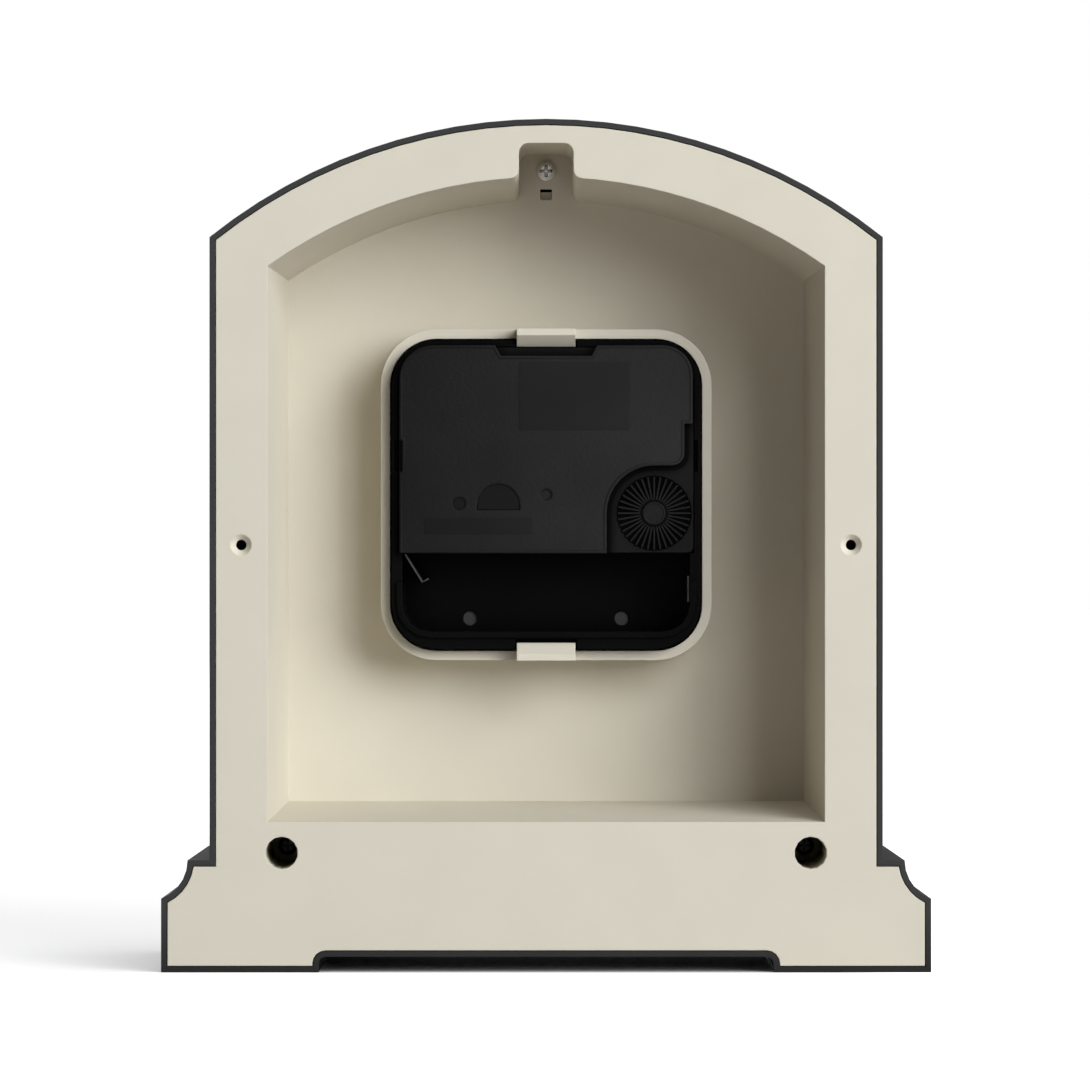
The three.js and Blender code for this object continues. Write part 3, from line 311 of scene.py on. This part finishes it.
PAINT = moulded(
    "hand_paint", grey(0.008), grey(0.013), roughness=0.28, grain=0.5, depth=0.003, specular=0.45)
INK = moulded(
    "dial_ink", grey(0.010), grey(0.016), roughness=0.50, grain=0.3, depth=0.003, specular=0.30)
FERRITE = moulded(
    "rotor_ferrite", grey(0.070), grey(0.110), roughness=0.55, grain=0.25, depth=0.02, specular=0.4)
# Painted shade darkens the cross in the screw head and its border.
ZINC = metal(
    "screw_steel", grey(0.66), grey(0.84), roughness=0.46, stretch=(1, 1, 6),
    painted_shade_reach=0.2, painted_groove_shade=0.32, metallic=0.35)
DULL = metal(
    "dull_screw_steel", grey(0.07), grey(0.10), roughness=0.50, stretch=(1, 1, 6), painted_shade_reach=1.2)
STEEL = metal("motor_steel", grey(0.46), grey(0.55), roughness=0.32, stretch=(0.2, 1, 4))
# Contact metal made near black as painted shade for the contacts in the battery bay.
CONTACT_METAL_PAINTED_SHADE = metal("contact_metal", grey(0.036), grey(0.056), roughness=0.42, stretch=(1, 0.15, 1))
COPPER = winding()
BOARD = board()
CARD = card()
GLASS = glass()

FINISHES = {
    CASE: ["front_case", "bezel_ring", "spacer_ring"],
    CREAM: ["back_shell", "movement_surround"],
    ZINC: ["top_screw"],
    DULL: ["left_screw", "right_screw"],
    GLASS: ["lens"],
    CARD: ["dial"],
    PAINT: ["hour_hand", "minute_hand", "second_hand"],
    BLACK: ["movement_housing"],
    SATIN: ["setting_wheel"],
    PLATE: ["middle_plate"],
    COVER: ["movement_cover"],
    NYLON: ["hour_wheel", "cannon_pinion", "motion_wheel", "centre_wheel", "third_wheel", "second_wheel",
            "intermediate_wheel", "coil_bobbin"],
    FERRITE: ["rotor"],
    STEEL: ["stator", "coil_core", "quartz_crystal"],
    COPPER: ["coil_winding"],
    BOARD: ["circuit_board"],
    EPOXY: ["control_chip"],
    CONTACT_METAL_PAINTED_SHADE: ["positive_contact", "negative_contact"],
}
for material, names in FINISHES.items():
    for name in names:
        slots = nodes[name].data.materials
        slots.clear()
        slots.append(material)


# Smooth curves with crisp edges
CRISP_ANGLE, WELD_REACH = math.radians(35), 0.001 * MM


def smooth(piece):
    piece.data.polygons.foreach_set("use_smooth", [True] * len(piece.data.polygons))
    weld = piece.modifiers.new("weld", "WELD")
    weld.merge_threshold = WELD_REACH
    crisp = piece.modifiers.new("crisp", "EDGE_SPLIT")
    crisp.split_angle = CRISP_ANGLE


for node in nodes.values():
    smooth(node)


# Shapes for the pieces below, in millimetres
def low_of(name):
    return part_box(name)[0] / MM


def high_of(name):
    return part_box(name)[1] / MM


def middle_of(name):
    return (low_of(name) + high_of(name)) / 2


CENTRE_X, CENTRE_Z = middle_of("bezel_ring").xz  # axis of the hands
SUNK = 0.1  # how far a piece reaches into what carries it
CURVE_STEPS, RING_STEPS, ROUND_STEPS = 24, 48, 6


def solid(name, body, slot, material, vertices, faces):
    mesh = bpy.data.meshes.new(name)
    mesh.from_pydata([Vector(v) * MM for v in vertices], [], faces)
    mesh.materials.append(material)
    made = bpy.data.objects.new(name, mesh)
    scene.collection.objects.link(made)
    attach(made, body)
    return made


def capped(first, second):
    """The skin between two outlines of as many points, with a face over each."""
    n = len(first)
    faces = [tuple(range(n)), tuple(reversed(range(n, 2 * n)))]
    for i in range(n):
        j = (i + 1) % n
        faces.append((i, i + n, j + n, j))
    return [*first, *second], faces


def looped(rings):
    """The skin over rings of as many points, each joined to the next and the last to the first."""
    n, count = len(rings[0]), len(rings)
    faces = []
    for k in range(count):
        for i in range(n):
            a, b = k * n + i, k * n + (i + 1) % n
            faces.append((a, b, (b + n) % (n * count), (a + n) % (n * count)))
    return [point for ring in rings for point in ring], faces


def slab(outline, low, high):
    """A plate from an outline in X and Z, anticlockwise as the dial side sees it."""
    return capped([(x, low, z) for x, z in outline], [(x, high, z) for x, z in outline])


def turned(profile, steps, x=CENTRE_X, z=CENTRE_Z):
    """A ring or cap from a closed profile of radius and Y, turned about an axis along Y."""
    angles = [2 * math.pi * k / steps for k in range(steps)]
    return looped([[(x + r * math.cos(a), y, z + r * math.sin(a)) for r, y in profile] for a in angles])


def gathered(parts):
    vertices, faces = [], []
    for more, around in parts:
        first = len(vertices)
        vertices += more
        faces += [tuple(i + first for i in face) for face in around]
    return vertices, faces


def arc(x, z, radius, start, end, steps):
    angles = (math.radians(start + (end - start) * k / steps) for k in range(steps + 1))
    return [(x + radius * math.cos(a), z + radius * math.sin(a)) for a in angles]


def disc(x, z, radius, steps=CURVE_STEPS):
    return arc(x, z, radius, 0, 360, steps)[:-1]


def rounded(x0, z0, x1, z1, radius, steps=ROUND_STEPS):
    return (arc(x1 - radius, z0 + radius, radius, -90, 0, steps)
            + arc(x1 - radius, z1 - radius, radius, 0, 90, steps)
            + arc(x0 + radius, z1 - radius, radius, 90, 180, steps)
            + arc(x0 + radius, z0 + radius, radius, 180, 270, steps))


# Movement cover: two smooth panels, each as low X, low Z, high X and high Z from the axis, and two inserts
PANELS = {"cover_panel_upper": (-15.1, 11.7, 4.9, 23.9), "cover_panel_lower": (2.4, -7.1, 22.0, -4.3)}
PANEL_LIFT, PANEL_CORNER = 0.04, 0.4
COVER_FACE = high_of("movement_cover").y
MARK_DEPTH, INSERT_HEIGHT = 0.3, 0.12
MARK_FLOOR = COVER_FACE - MARK_DEPTH
MOON_X, MOON_RADIUS = 8.6, 3.8
MOON_FOOT, MOON_RISE = CENTRE_Z - 2.7, CENTRE_Z - 1.9  # its lower edge, and the middle of its curve
PLUG_X, PLUG_Z, PLUG_RADIUS = 15.7, CENTRE_Z - 1.6, 1.12

for name, (x0, z0, x1, z1) in PANELS.items():
    outline = rounded(x0, CENTRE_Z + z0, x1, CENTRE_Z + z1, PANEL_CORNER)
    panel = slab(outline, COVER_FACE - SUNK, COVER_FACE + PANEL_LIFT)
    solid(name, "clock", "cover_plastic", PANEL, *panel)

half_moon = [(MOON_X - MOON_RADIUS, MOON_FOOT), (MOON_X + MOON_RADIUS, MOON_FOOT)]
half_moon += arc(MOON_X, MOON_RISE, MOON_RADIUS, 0, 180, CURVE_STEPS)
plug = disc(PLUG_X, PLUG_Z, PLUG_RADIUS)
for name, outline in (("cover_half_moon", half_moon), ("cover_plug", plug)):
    insert = slab(outline, MARK_FLOOR - SUNK, MARK_FLOOR + INSERT_HEIGHT)
    solid(name, "clock", "black_plastic", INSERT, *insert)

# Rounded rim of the cover, on the same outline as its solid
BEAD_STEPS, CORNER_STEPS, TAIL_STEPS = 8, 12, 8
RIM_INSET, RIM_WIDTH, RIM_HEIGHT = 0.02, 0.56, 0.10
COVER_HALF, COVER_TOP = high_of("movement_cover").x, high_of("movement_cover").z
COVER_FOOT = low_of("movement_cover").z
CORNER_LEFT, CORNER_RIGHT = 6.0, 5.4
LATCH_LOW, LATCH_HIGH, LATCH_IN = CENTRE_Z + 4.2, CENTRE_Z + 9.8, 0.5
NOTCH_HALF, NOTCH_SLANT, NOTCH_DEPTH = 8.2, 1.0, 1.9
STEP_IN, STEP_Z, TAIL_CORNER = 1.5, CENTRE_Z + 12.8, 2.2
STEP_X = STEP_IN - COVER_HALF
WHEEL_X, WHEEL_Z = middle_of("setting_wheel").xz
WHEEL_ROOM = 8.6  # radius of the cover's edge round the setting wheel


def wheel_edge(out, foot):
    """The cover's edge at the setting wheel, from its step to its foot, moved out towards the wheel."""
    shelf = WHEEL_Z + WHEEL_ROOM
    return ([(STEP_X - out, STEP_Z)]
            + arc(STEP_X + TAIL_CORNER, shelf + TAIL_CORNER, TAIL_CORNER + out, 180, 270, TAIL_STEPS)
            + arc(WHEEL_X, WHEEL_Z, WHEEL_ROOM - out, 90, 0, CURVE_STEPS)
            + [(WHEEL_X + WHEEL_ROOM - out, foot)])


def bead(width, height):
    """A rounded section from one foot to the other, in steps across and up."""
    return [(width * k / BEAD_STEPS, height * math.sin(math.pi * k / BEAD_STEPS))
            for k in range(BEAD_STEPS + 1)]


def beaded(path, section, face):
    """A closed strip along an outline in X and Z, with a section in steps inwards and above the face."""
    points = [Vector(p) for p in path]
    ends = points[1:] + points[:1]
    sides = [Vector((a.y - b.y, b.x - a.x)).normalized() for a, b in zip(points, ends)]
    rings = []
    for i, p in enumerate(points):
        before, after = sides[i - 1], sides[i]
        side = (before + after) / (1 + before.dot(after))
        rings.append([(p.x + side.x * u, face + v, p.y + side.y * u) for u, v in section])
    return looped(rings)


cover_edge = [
    (COVER_HALF, COVER_FOOT), (COVER_HALF, LATCH_LOW), (COVER_HALF - LATCH_IN, LATCH_LOW),
    (COVER_HALF - LATCH_IN, LATCH_HIGH), (COVER_HALF, LATCH_HIGH),
    *arc(COVER_HALF - CORNER_LEFT, COVER_TOP - CORNER_LEFT, CORNER_LEFT, 0, 90, CORNER_STEPS),
    (NOTCH_HALF + NOTCH_SLANT, COVER_TOP), (NOTCH_HALF, COVER_TOP - NOTCH_DEPTH),
    (-NOTCH_HALF, COVER_TOP - NOTCH_DEPTH), (-NOTCH_HALF - NOTCH_SLANT, COVER_TOP),
    *arc(CORNER_RIGHT - COVER_HALF, COVER_TOP - CORNER_RIGHT, CORNER_RIGHT, 90, 180, CORNER_STEPS),
    (-COVER_HALF, STEP_Z), *wheel_edge(0, COVER_FOOT)]
rim = [(RIM_INSET + across, up) for across, up in bead(RIM_WIDTH, RIM_HEIGHT)]
rim += [(RIM_INSET + RIM_WIDTH, -SUNK), (RIM_INSET, -SUNK)]
cover_rim = solid("cover_rim", "clock", "cover_plastic", COVER, *beaded(cover_edge, rim, COVER_FACE))
smooth(cover_rim)

# Rounded edge of the setting wheel's hub, and a black ring of painted groove shade round it
HUB_RADIUS, HUB_EDGE_WIDTH, HUB_EDGE_HEIGHT = 2.08, 0.42, 0.12
HUB_FACE = high_of("setting_wheel").y
hub_edge = [(HUB_RADIUS - across, HUB_FACE + up) for across, up in bead(HUB_EDGE_WIDTH, HUB_EDGE_HEIGHT)]
hub_edge += [(HUB_RADIUS - HUB_EDGE_WIDTH, HUB_FACE - SUNK), (HUB_RADIUS, HUB_FACE - SUNK)]
hub_ring = turned(hub_edge, RING_STEPS, WHEEL_X, WHEEL_Z)
wheel_hub_edge = solid("wheel_hub_edge", "setting", "black_plastic", SATIN, *hub_ring)
smooth(wheel_hub_edge)

# Painted groove shade: a black ring over the rib tops round the hub
HUB_PAINTED_GROOVE_INNER, HUB_PAINTED_GROOVE_OUTER = 2.05, 2.5
HUB_PAINTED_GROOVE_LOW, HUB_PAINTED_GROOVE_HIGH = HUB_FACE - 0.2, HUB_FACE - 0.07
hub_painted_groove = [(HUB_PAINTED_GROOVE_OUTER, HUB_PAINTED_GROOVE_HIGH), (HUB_PAINTED_GROOVE_INNER, HUB_PAINTED_GROOVE_HIGH),
              (HUB_PAINTED_GROOVE_INNER, HUB_PAINTED_GROOVE_LOW), (HUB_PAINTED_GROOVE_OUTER, HUB_PAINTED_GROOVE_LOW)]
hub_painted_groove_ring = turned(hub_painted_groove, RING_STEPS, WHEEL_X, WHEEL_Z)
solid("wheel_hub_painted_groove", "setting", "black_plastic", BLACK, *hub_painted_groove_ring)

# Painted groove shade: a black strip lying on the plate beside the cover's edge at the setting wheel
PAINTED_GROOVE_WIDTH, PAINTED_GROOVE_LIFT = 0.85, 0.03
PLATE_FACE, PLATE_FOOT = high_of("middle_plate").y, low_of("middle_plate").z
painted_groove_shade = wheel_edge(PAINTED_GROOVE_WIDTH, PLATE_FOOT) + wheel_edge(0, PLATE_FOOT)[::-1]
painted_groove_strip = slab(painted_groove_shade, PLATE_FACE - SUNK, PLATE_FACE + PAINTED_GROOVE_LIFT)
solid("plate_painted_groove_shade", "clock", "black_plastic", BLACK, *painted_groove_strip)

# Floors of the key hole under the top screw, with a slit above it, and of the two drain holes
KEY_HOLE_DROP, KEY_FLOOR_INSET, KEY_FLOOR_THICKNESS = 4.2, 0.1, 0.5
KEY_HALF_WIDTH, KEY_HALF_HEIGHT, KEY_CORNER, KEY_SLIT = 1.04, 0.965, 0.05, 0.5
KEY_HOLE_Z = middle_of("top_screw").z - KEY_HOLE_DROP
KEY_FLOOR = low_of("back_shell").y + KEY_FLOOR_INSET
DRAIN_ASIDE, DRAIN_RADIUS, DRAIN_Z = 13.85, 1.33, CENTRE_Z - 22.5
DRAIN_FLOOR_HEIGHT, DRAIN_FLOOR_THICKNESS = 3.7, 0.2
DRAIN_FLOOR = low_of("movement_housing").y + DRAIN_FLOOR_HEIGHT

key_hole = rounded(-KEY_HALF_WIDTH, KEY_HOLE_Z - KEY_HALF_HEIGHT, KEY_HALF_WIDTH,
                   KEY_HOLE_Z + KEY_HALF_HEIGHT - KEY_SLIT, KEY_CORNER)
key_floor = slab(key_hole, KEY_FLOOR, KEY_FLOOR + KEY_FLOOR_THICKNESS)
solid("key_hole_floor", "clock", "cream_plastic", CREAM, *key_floor)
for name, x in (("drain_floor_left", DRAIN_ASIDE), ("drain_floor_right", -DRAIN_ASIDE)):
    drain_floor = slab(disc(x, DRAIN_Z, DRAIN_RADIUS), DRAIN_FLOOR, DRAIN_FLOOR + DRAIN_FLOOR_THICKNESS)
    solid(name, "clock", "black_plastic", DRAIN, *drain_floor)

# Dial print
DIAL_FACE = low_of("dial").y
PRINT_LOW, PRINT_HIGH = DIAL_FACE - 0.03, DIAL_FACE + 0.05
TRACK_INNER, TRACK_OUTER, TRACK_HALF = 39.6, 42.2, 0.14
HOUR_TICK_HALF, MINUTE_TICK_HALF = 0.55, 0.2
NUMERAL_RADIUS, NUMERAL_SIZE, NUMERAL_HALF_THICKNESS = 33.2, 8.6, 0.04
MINUTES, HOURS, TRACK_STEPS, NUMERAL_STEPS = 60, 12, 180, 8


def tick(bearing, half):
    a = math.radians(bearing)
    along, across = Vector((math.sin(a), math.cos(a))), Vector((math.cos(a), -math.sin(a)))
    middle = Vector((CENTRE_X, CENTRE_Z))
    corners = ((TRACK_INNER, -half), (TRACK_INNER, half), (TRACK_OUTER, half), (TRACK_OUTER, -half))
    return [tuple(middle + r * along + w * across) for r, w in corners]


track = []
for minute in range(MINUTES):
    half = MINUTE_TICK_HALF if minute % (MINUTES // HOURS) else HOUR_TICK_HALF
    track.append(slab(tick(360 * minute / MINUTES, half), PRINT_LOW, PRINT_HIGH))
for radius in (TRACK_INNER, TRACK_OUTER):
    inner, outer = radius - TRACK_HALF, radius + TRACK_HALF
    line = [(inner, PRINT_LOW), (outer, PRINT_LOW), (outer, PRINT_HIGH), (inner, PRINT_HIGH)]
    track.append(turned(line, TRACK_STEPS))
solid("dial_track", "clock", "dial_card", INK, *gathered(track))


def numeral(text):
    """A numeral's mesh about its own middle, flat in the first two axes."""
    curve = bpy.data.curves.new("numeral", "FONT")
    curve.body = text
    curve.size = NUMERAL_SIZE
    curve.resolution_u = NUMERAL_STEPS
    curve.extrude = NUMERAL_HALF_THICKNESS
    holder = bpy.data.objects.new("numeral", curve)
    scene.collection.objects.link(holder)
    mesh = bpy.data.meshes.new_from_object(holder.evaluated_get(bpy.context.evaluated_depsgraph_get()))
    vertices = [v.co.copy() for v in mesh.vertices]
    faces = [tuple(p.vertices) for p in mesh.polygons]
    bpy.data.objects.remove(holder)
    bpy.data.curves.remove(curve)
    bpy.data.meshes.remove(mesh)
    middle = [(max(v[i] for v in vertices) + min(v[i] for v in vertices)) / 2 for i in (0, 1)]
    return [v - Vector((*middle, 0)) for v in vertices], faces


numerals = []
for hour in range(1, HOURS + 1):
    a = math.radians(360 * hour / HOURS)
    x, z = CENTRE_X + NUMERAL_RADIUS * math.sin(a), CENTRE_Z + NUMERAL_RADIUS * math.cos(a)
    y = (PRINT_LOW + PRINT_HIGH) / 2
    points, faces = numeral(str(hour))
    numerals.append(([(x + p.x, y - p.z, z + p.y) for p in points], faces))
solid("dial_numerals", "clock", "dial_card", INK, *gathered(numerals))

# Domed cap on the second hand
CAP_RADIUS, CAP_HEIGHT, CAP_TIP, CAP_CURVE_STEPS = 2.0, 0.9, 0.02, 10
CAP_BASE = low_of("second_hand").y
cap = [(CAP_TIP, CAP_BASE - CAP_HEIGHT)]
cap += [(CAP_RADIUS * math.sin(a), CAP_BASE - CAP_HEIGHT * math.cos(a))
        for a in (math.pi / 2 * k / CAP_CURVE_STEPS for k in range(2, CAP_CURVE_STEPS + 1))]
cap += [(CAP_RADIUS, CAP_BASE + SUNK), (CAP_TIP, CAP_BASE + SUNK)]
second_cap = solid("second_cap", "second", "hand_metal", ZINC, *turned(cap, RING_STEPS))
smooth(second_cap)

# Bezel with a round crest, on the same places as its solid
BEZEL_INNER, BEZEL_OUTER, BEZEL_HEIGHT = 44.8, high_of("bezel_ring").x, 2.1
SLEEVE_INNER, SLEEVE_OUTER, SLEEVE_END = 46.7, 47.9, high_of("bezel_ring").y
BEZEL_FACE = low_of("bezel_ring").y + BEZEL_HEIGHT
BEZEL_STEPS = 192
bezel_middle, bezel_half = (BEZEL_INNER + BEZEL_OUTER) / 2, (BEZEL_OUTER - BEZEL_INNER) / 2
bezel = [(bezel_middle - bezel_half * math.cos(a), BEZEL_FACE - BEZEL_HEIGHT * math.sin(a))
         for a in (math.pi * k / CURVE_STEPS for k in range(CURVE_STEPS + 1))]
bezel += [(SLEEVE_OUTER, BEZEL_FACE), (SLEEVE_OUTER, SLEEVE_END), (SLEEVE_INNER, SLEEVE_END),
          (SLEEVE_INNER, BEZEL_FACE)]
bezel_turned = solid("bezel_turned", "clock", "anthracite_plastic", CASE, *turned(bezel, BEZEL_STEPS))
smooth(bezel_turned)
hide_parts("bezel_ring")

# Surround with round corners and its two clips, on the same places as its solid
SURROUND_WALL, SURROUND_HEIGHT, SURROUND_INSET = 1.7, 10.9, 19.9
CLIP_HALF, CLIP_REACH, CLIP_TIP, CLIP_RISE, CLIP_FLAT = 5.3, 1.5, 0.8, 3.4, 1.2
SURROUND_OUTER, SURROUND_FOOT = high_of("movement_surround").x, low_of("movement_surround").y
SURROUND_INNER, SURROUND_TOP = SURROUND_OUTER - SURROUND_WALL, SURROUND_FOOT + SURROUND_HEIGHT
CLIP_TOP = high_of("movement_surround").y
CLIP_SEAT = CLIP_TOP - CLIP_RISE


def square(half):
    return rounded(-half, CENTRE_Z - half, half, CENTRE_Z + half, half - SURROUND_INSET, CORNER_STEPS)


def walled(outer, inner, low, high):
    """A wall between two outlines in X and Z that have as many points."""
    levels = ((inner, low), (inner, high), (outer, high), (outer, low))
    return looped([[(x, y, z) for x, z in outline] for outline, y in levels])


def clip(side):
    """The clip above the movement for side 1, and the one below it for side -1."""
    inner, outer = SURROUND_INNER, SURROUND_OUTER
    profile = [(outer, SURROUND_TOP - SUNK), (inner, SURROUND_TOP - SUNK), (inner, CLIP_SEAT),
               (inner - CLIP_REACH, CLIP_SEAT), (inner - CLIP_REACH, CLIP_SEAT + CLIP_TIP),
               (outer - CLIP_FLAT, CLIP_TOP), (outer, CLIP_TOP)]
    ends = [[(side * x, y, CENTRE_Z + side * z) for z, y in profile] for x in (CLIP_HALF, -CLIP_HALF)]
    return capped(*ends)


surround_wall = walled(square(SURROUND_OUTER), square(SURROUND_INNER), SURROUND_FOOT, SURROUND_TOP)
surround = gathered([surround_wall, clip(1), clip(-1)])
surround_moulded = solid("surround_moulded", "clock", "cream_plastic", CREAM, *surround)
smooth(surround_moulded)
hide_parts("movement_surround")

# World: white to the eye, and a weak even light on the object
WORLD_LIGHT = 0.02
world = bpy.data.worlds.new("studio")
scene.world = world
world.use_nodes = True
sky = world.node_tree.nodes["Background"]
sky.inputs["Color"].default_value = (1, 1, 1, 1)
world_tree = Tree(world.node_tree)
world_tree.link(world_tree.spread(world_tree.seen(), WORLD_LIGHT, 1, 0, 1), sky.inputs["Strength"])

# Floor: white to the eye on the lamps' side and before the back; elsewhere its glow to the eye carries
# painted shade, darker close to the clock and in a painted shadow pool, over the shadows that the lamps
# cast on it
FLOOR_HALF, FLOOR_DROP, FLOOR_TONE = 6.0, 0.02 * MM, 0.5
PAINTED_CONTACT_SHADE_REACH, PAINTED_CONTACT_SHADE_SAMPLES = 60 * MM, 8
# Middle, dimmest level and fall-off of a painted shadow pool in the floor's glow
SHADE_MIDDLE, SHADE_LEVEL = (60 * MM, -80 * MM, 0), 0.67
SHADE_NEAR, SHADE_FAR = 0.22, 0.5
LIT_ASIDE, LIT_BEHIND = (-50 * MM, -64 * MM), (cad_high.y, cad_high.y + 3 * MM)


def floor_material():
    material = bpy.data.materials.new("pale_floor")
    material.use_nodes = True
    material.node_tree.nodes.clear()
    tree = Tree(material.node_tree)
    matt = tree.node("ShaderNodeBsdfDiffuse")
    matt.inputs["Color"].default_value = (*grey(FLOOR_TONE), 1)
    # Painted contact shade: the glow to the eye darkens where the clock hides the sky nearby
    painted_contact_shade = tree.node("ShaderNodeAmbientOcclusion", samples=PAINTED_CONTACT_SHADE_SAMPLES)
    painted_contact_shade.inputs["Distance"].default_value = PAINTED_CONTACT_SHADE_REACH
    away = tree.node("ShaderNodeVectorMath", operation="DISTANCE")
    tree.link(tree.place(), away.inputs[0])
    away.inputs[1].default_value = SHADE_MIDDLE
    # Painted shadow pool: the glow to the eye dims towards SHADE_MIDDLE
    painted_shadow_pool = tree.spread(away.outputs["Value"], SHADE_LEVEL, 1, SHADE_NEAR, SHADE_FAR, "SMOOTHSTEP")
    axes = tree.node("ShaderNodeSeparateXYZ")
    tree.link(tree.place(), axes.inputs["Vector"])
    aside = tree.spread(axes.outputs["X"], 0, 1, *LIT_ASIDE, "SMOOTHSTEP")
    behind = tree.spread(axes.outputs["Y"], 0, 1, *LIT_BEHIND, "SMOOTHSTEP")
    level = tree.node("ShaderNodeMix")
    tree.link(tree.combined("MAXIMUM", aside, behind), level.inputs["Factor"])
    tree.link(tree.combined("MULTIPLY", painted_contact_shade.outputs["AO"], painted_shadow_pool), level.inputs["A"])
    level.inputs["B"].default_value = 1
    glow = tree.node("ShaderNodeEmission")
    tree.link(tree.combined("MULTIPLY", level.outputs["Result"], tree.seen()), glow.inputs["Strength"])
    both = tree.node("ShaderNodeAddShader")
    tree.link(matt.outputs["BSDF"], both.inputs[0])
    tree.link(glow.outputs["Emission"], both.inputs[1])
    tree.link(both.outputs["Shader"], tree.node("ShaderNodeOutputMaterial").inputs["Surface"])
    return material


floor_mesh = bpy.data.meshes.new("floor")
corners = [(FLOOR_HALF * x, FLOOR_HALF * y) for x, y in ((-1, -1), (1, -1), (1, 1), (-1, 1))]
floor_mesh.from_pydata([(x, y, -FLOOR_DROP) for x, y in corners], [], [(0, 1, 2, 3)])
floor_mesh.materials.append(floor_material())
floor = bpy.data.objects.new("floor", floor_mesh)
scene.collection.objects.link(floor)

# Lamps: two on the lit side of the back, one from above, and one for the dial
LAMP_DISTANCE, LAMP_SIZE = 2.4, 1.5
LAMP_AIM, LAMP_COLOUR = Vector((0, 0, 80 * MM)), (0.955, 1.0, 1.065)


def softbox(name, bearing, height, power):
    """A square lamp aimed at the clock. The bearing goes from the camera's side towards its right."""
    lamp = bpy.data.lights.new(name, "AREA")
    lamp.size = LAMP_SIZE
    lamp.color = LAMP_COLOUR
    lamp.energy = power
    a, e = math.radians(bearing), math.radians(height)
    back = Vector((-math.sin(a) * math.cos(e), math.cos(a) * math.cos(e), math.sin(e)))
    made = bpy.data.objects.new(name, lamp)
    made.location = LAMP_AIM + back * LAMP_DISTANCE
    made.rotation_mode = "QUATERNION"
    made.rotation_quaternion = (-back).to_track_quat("-Z", "Y")
    scene.collection.objects.link(made)


softbox("key_high", bearing=36, height=23, power=44)
softbox("key_low", bearing=50, height=14, power=40)
softbox("key_top", bearing=10, height=76, power=15)
softbox("dial_fill", bearing=215, height=12, power=50)
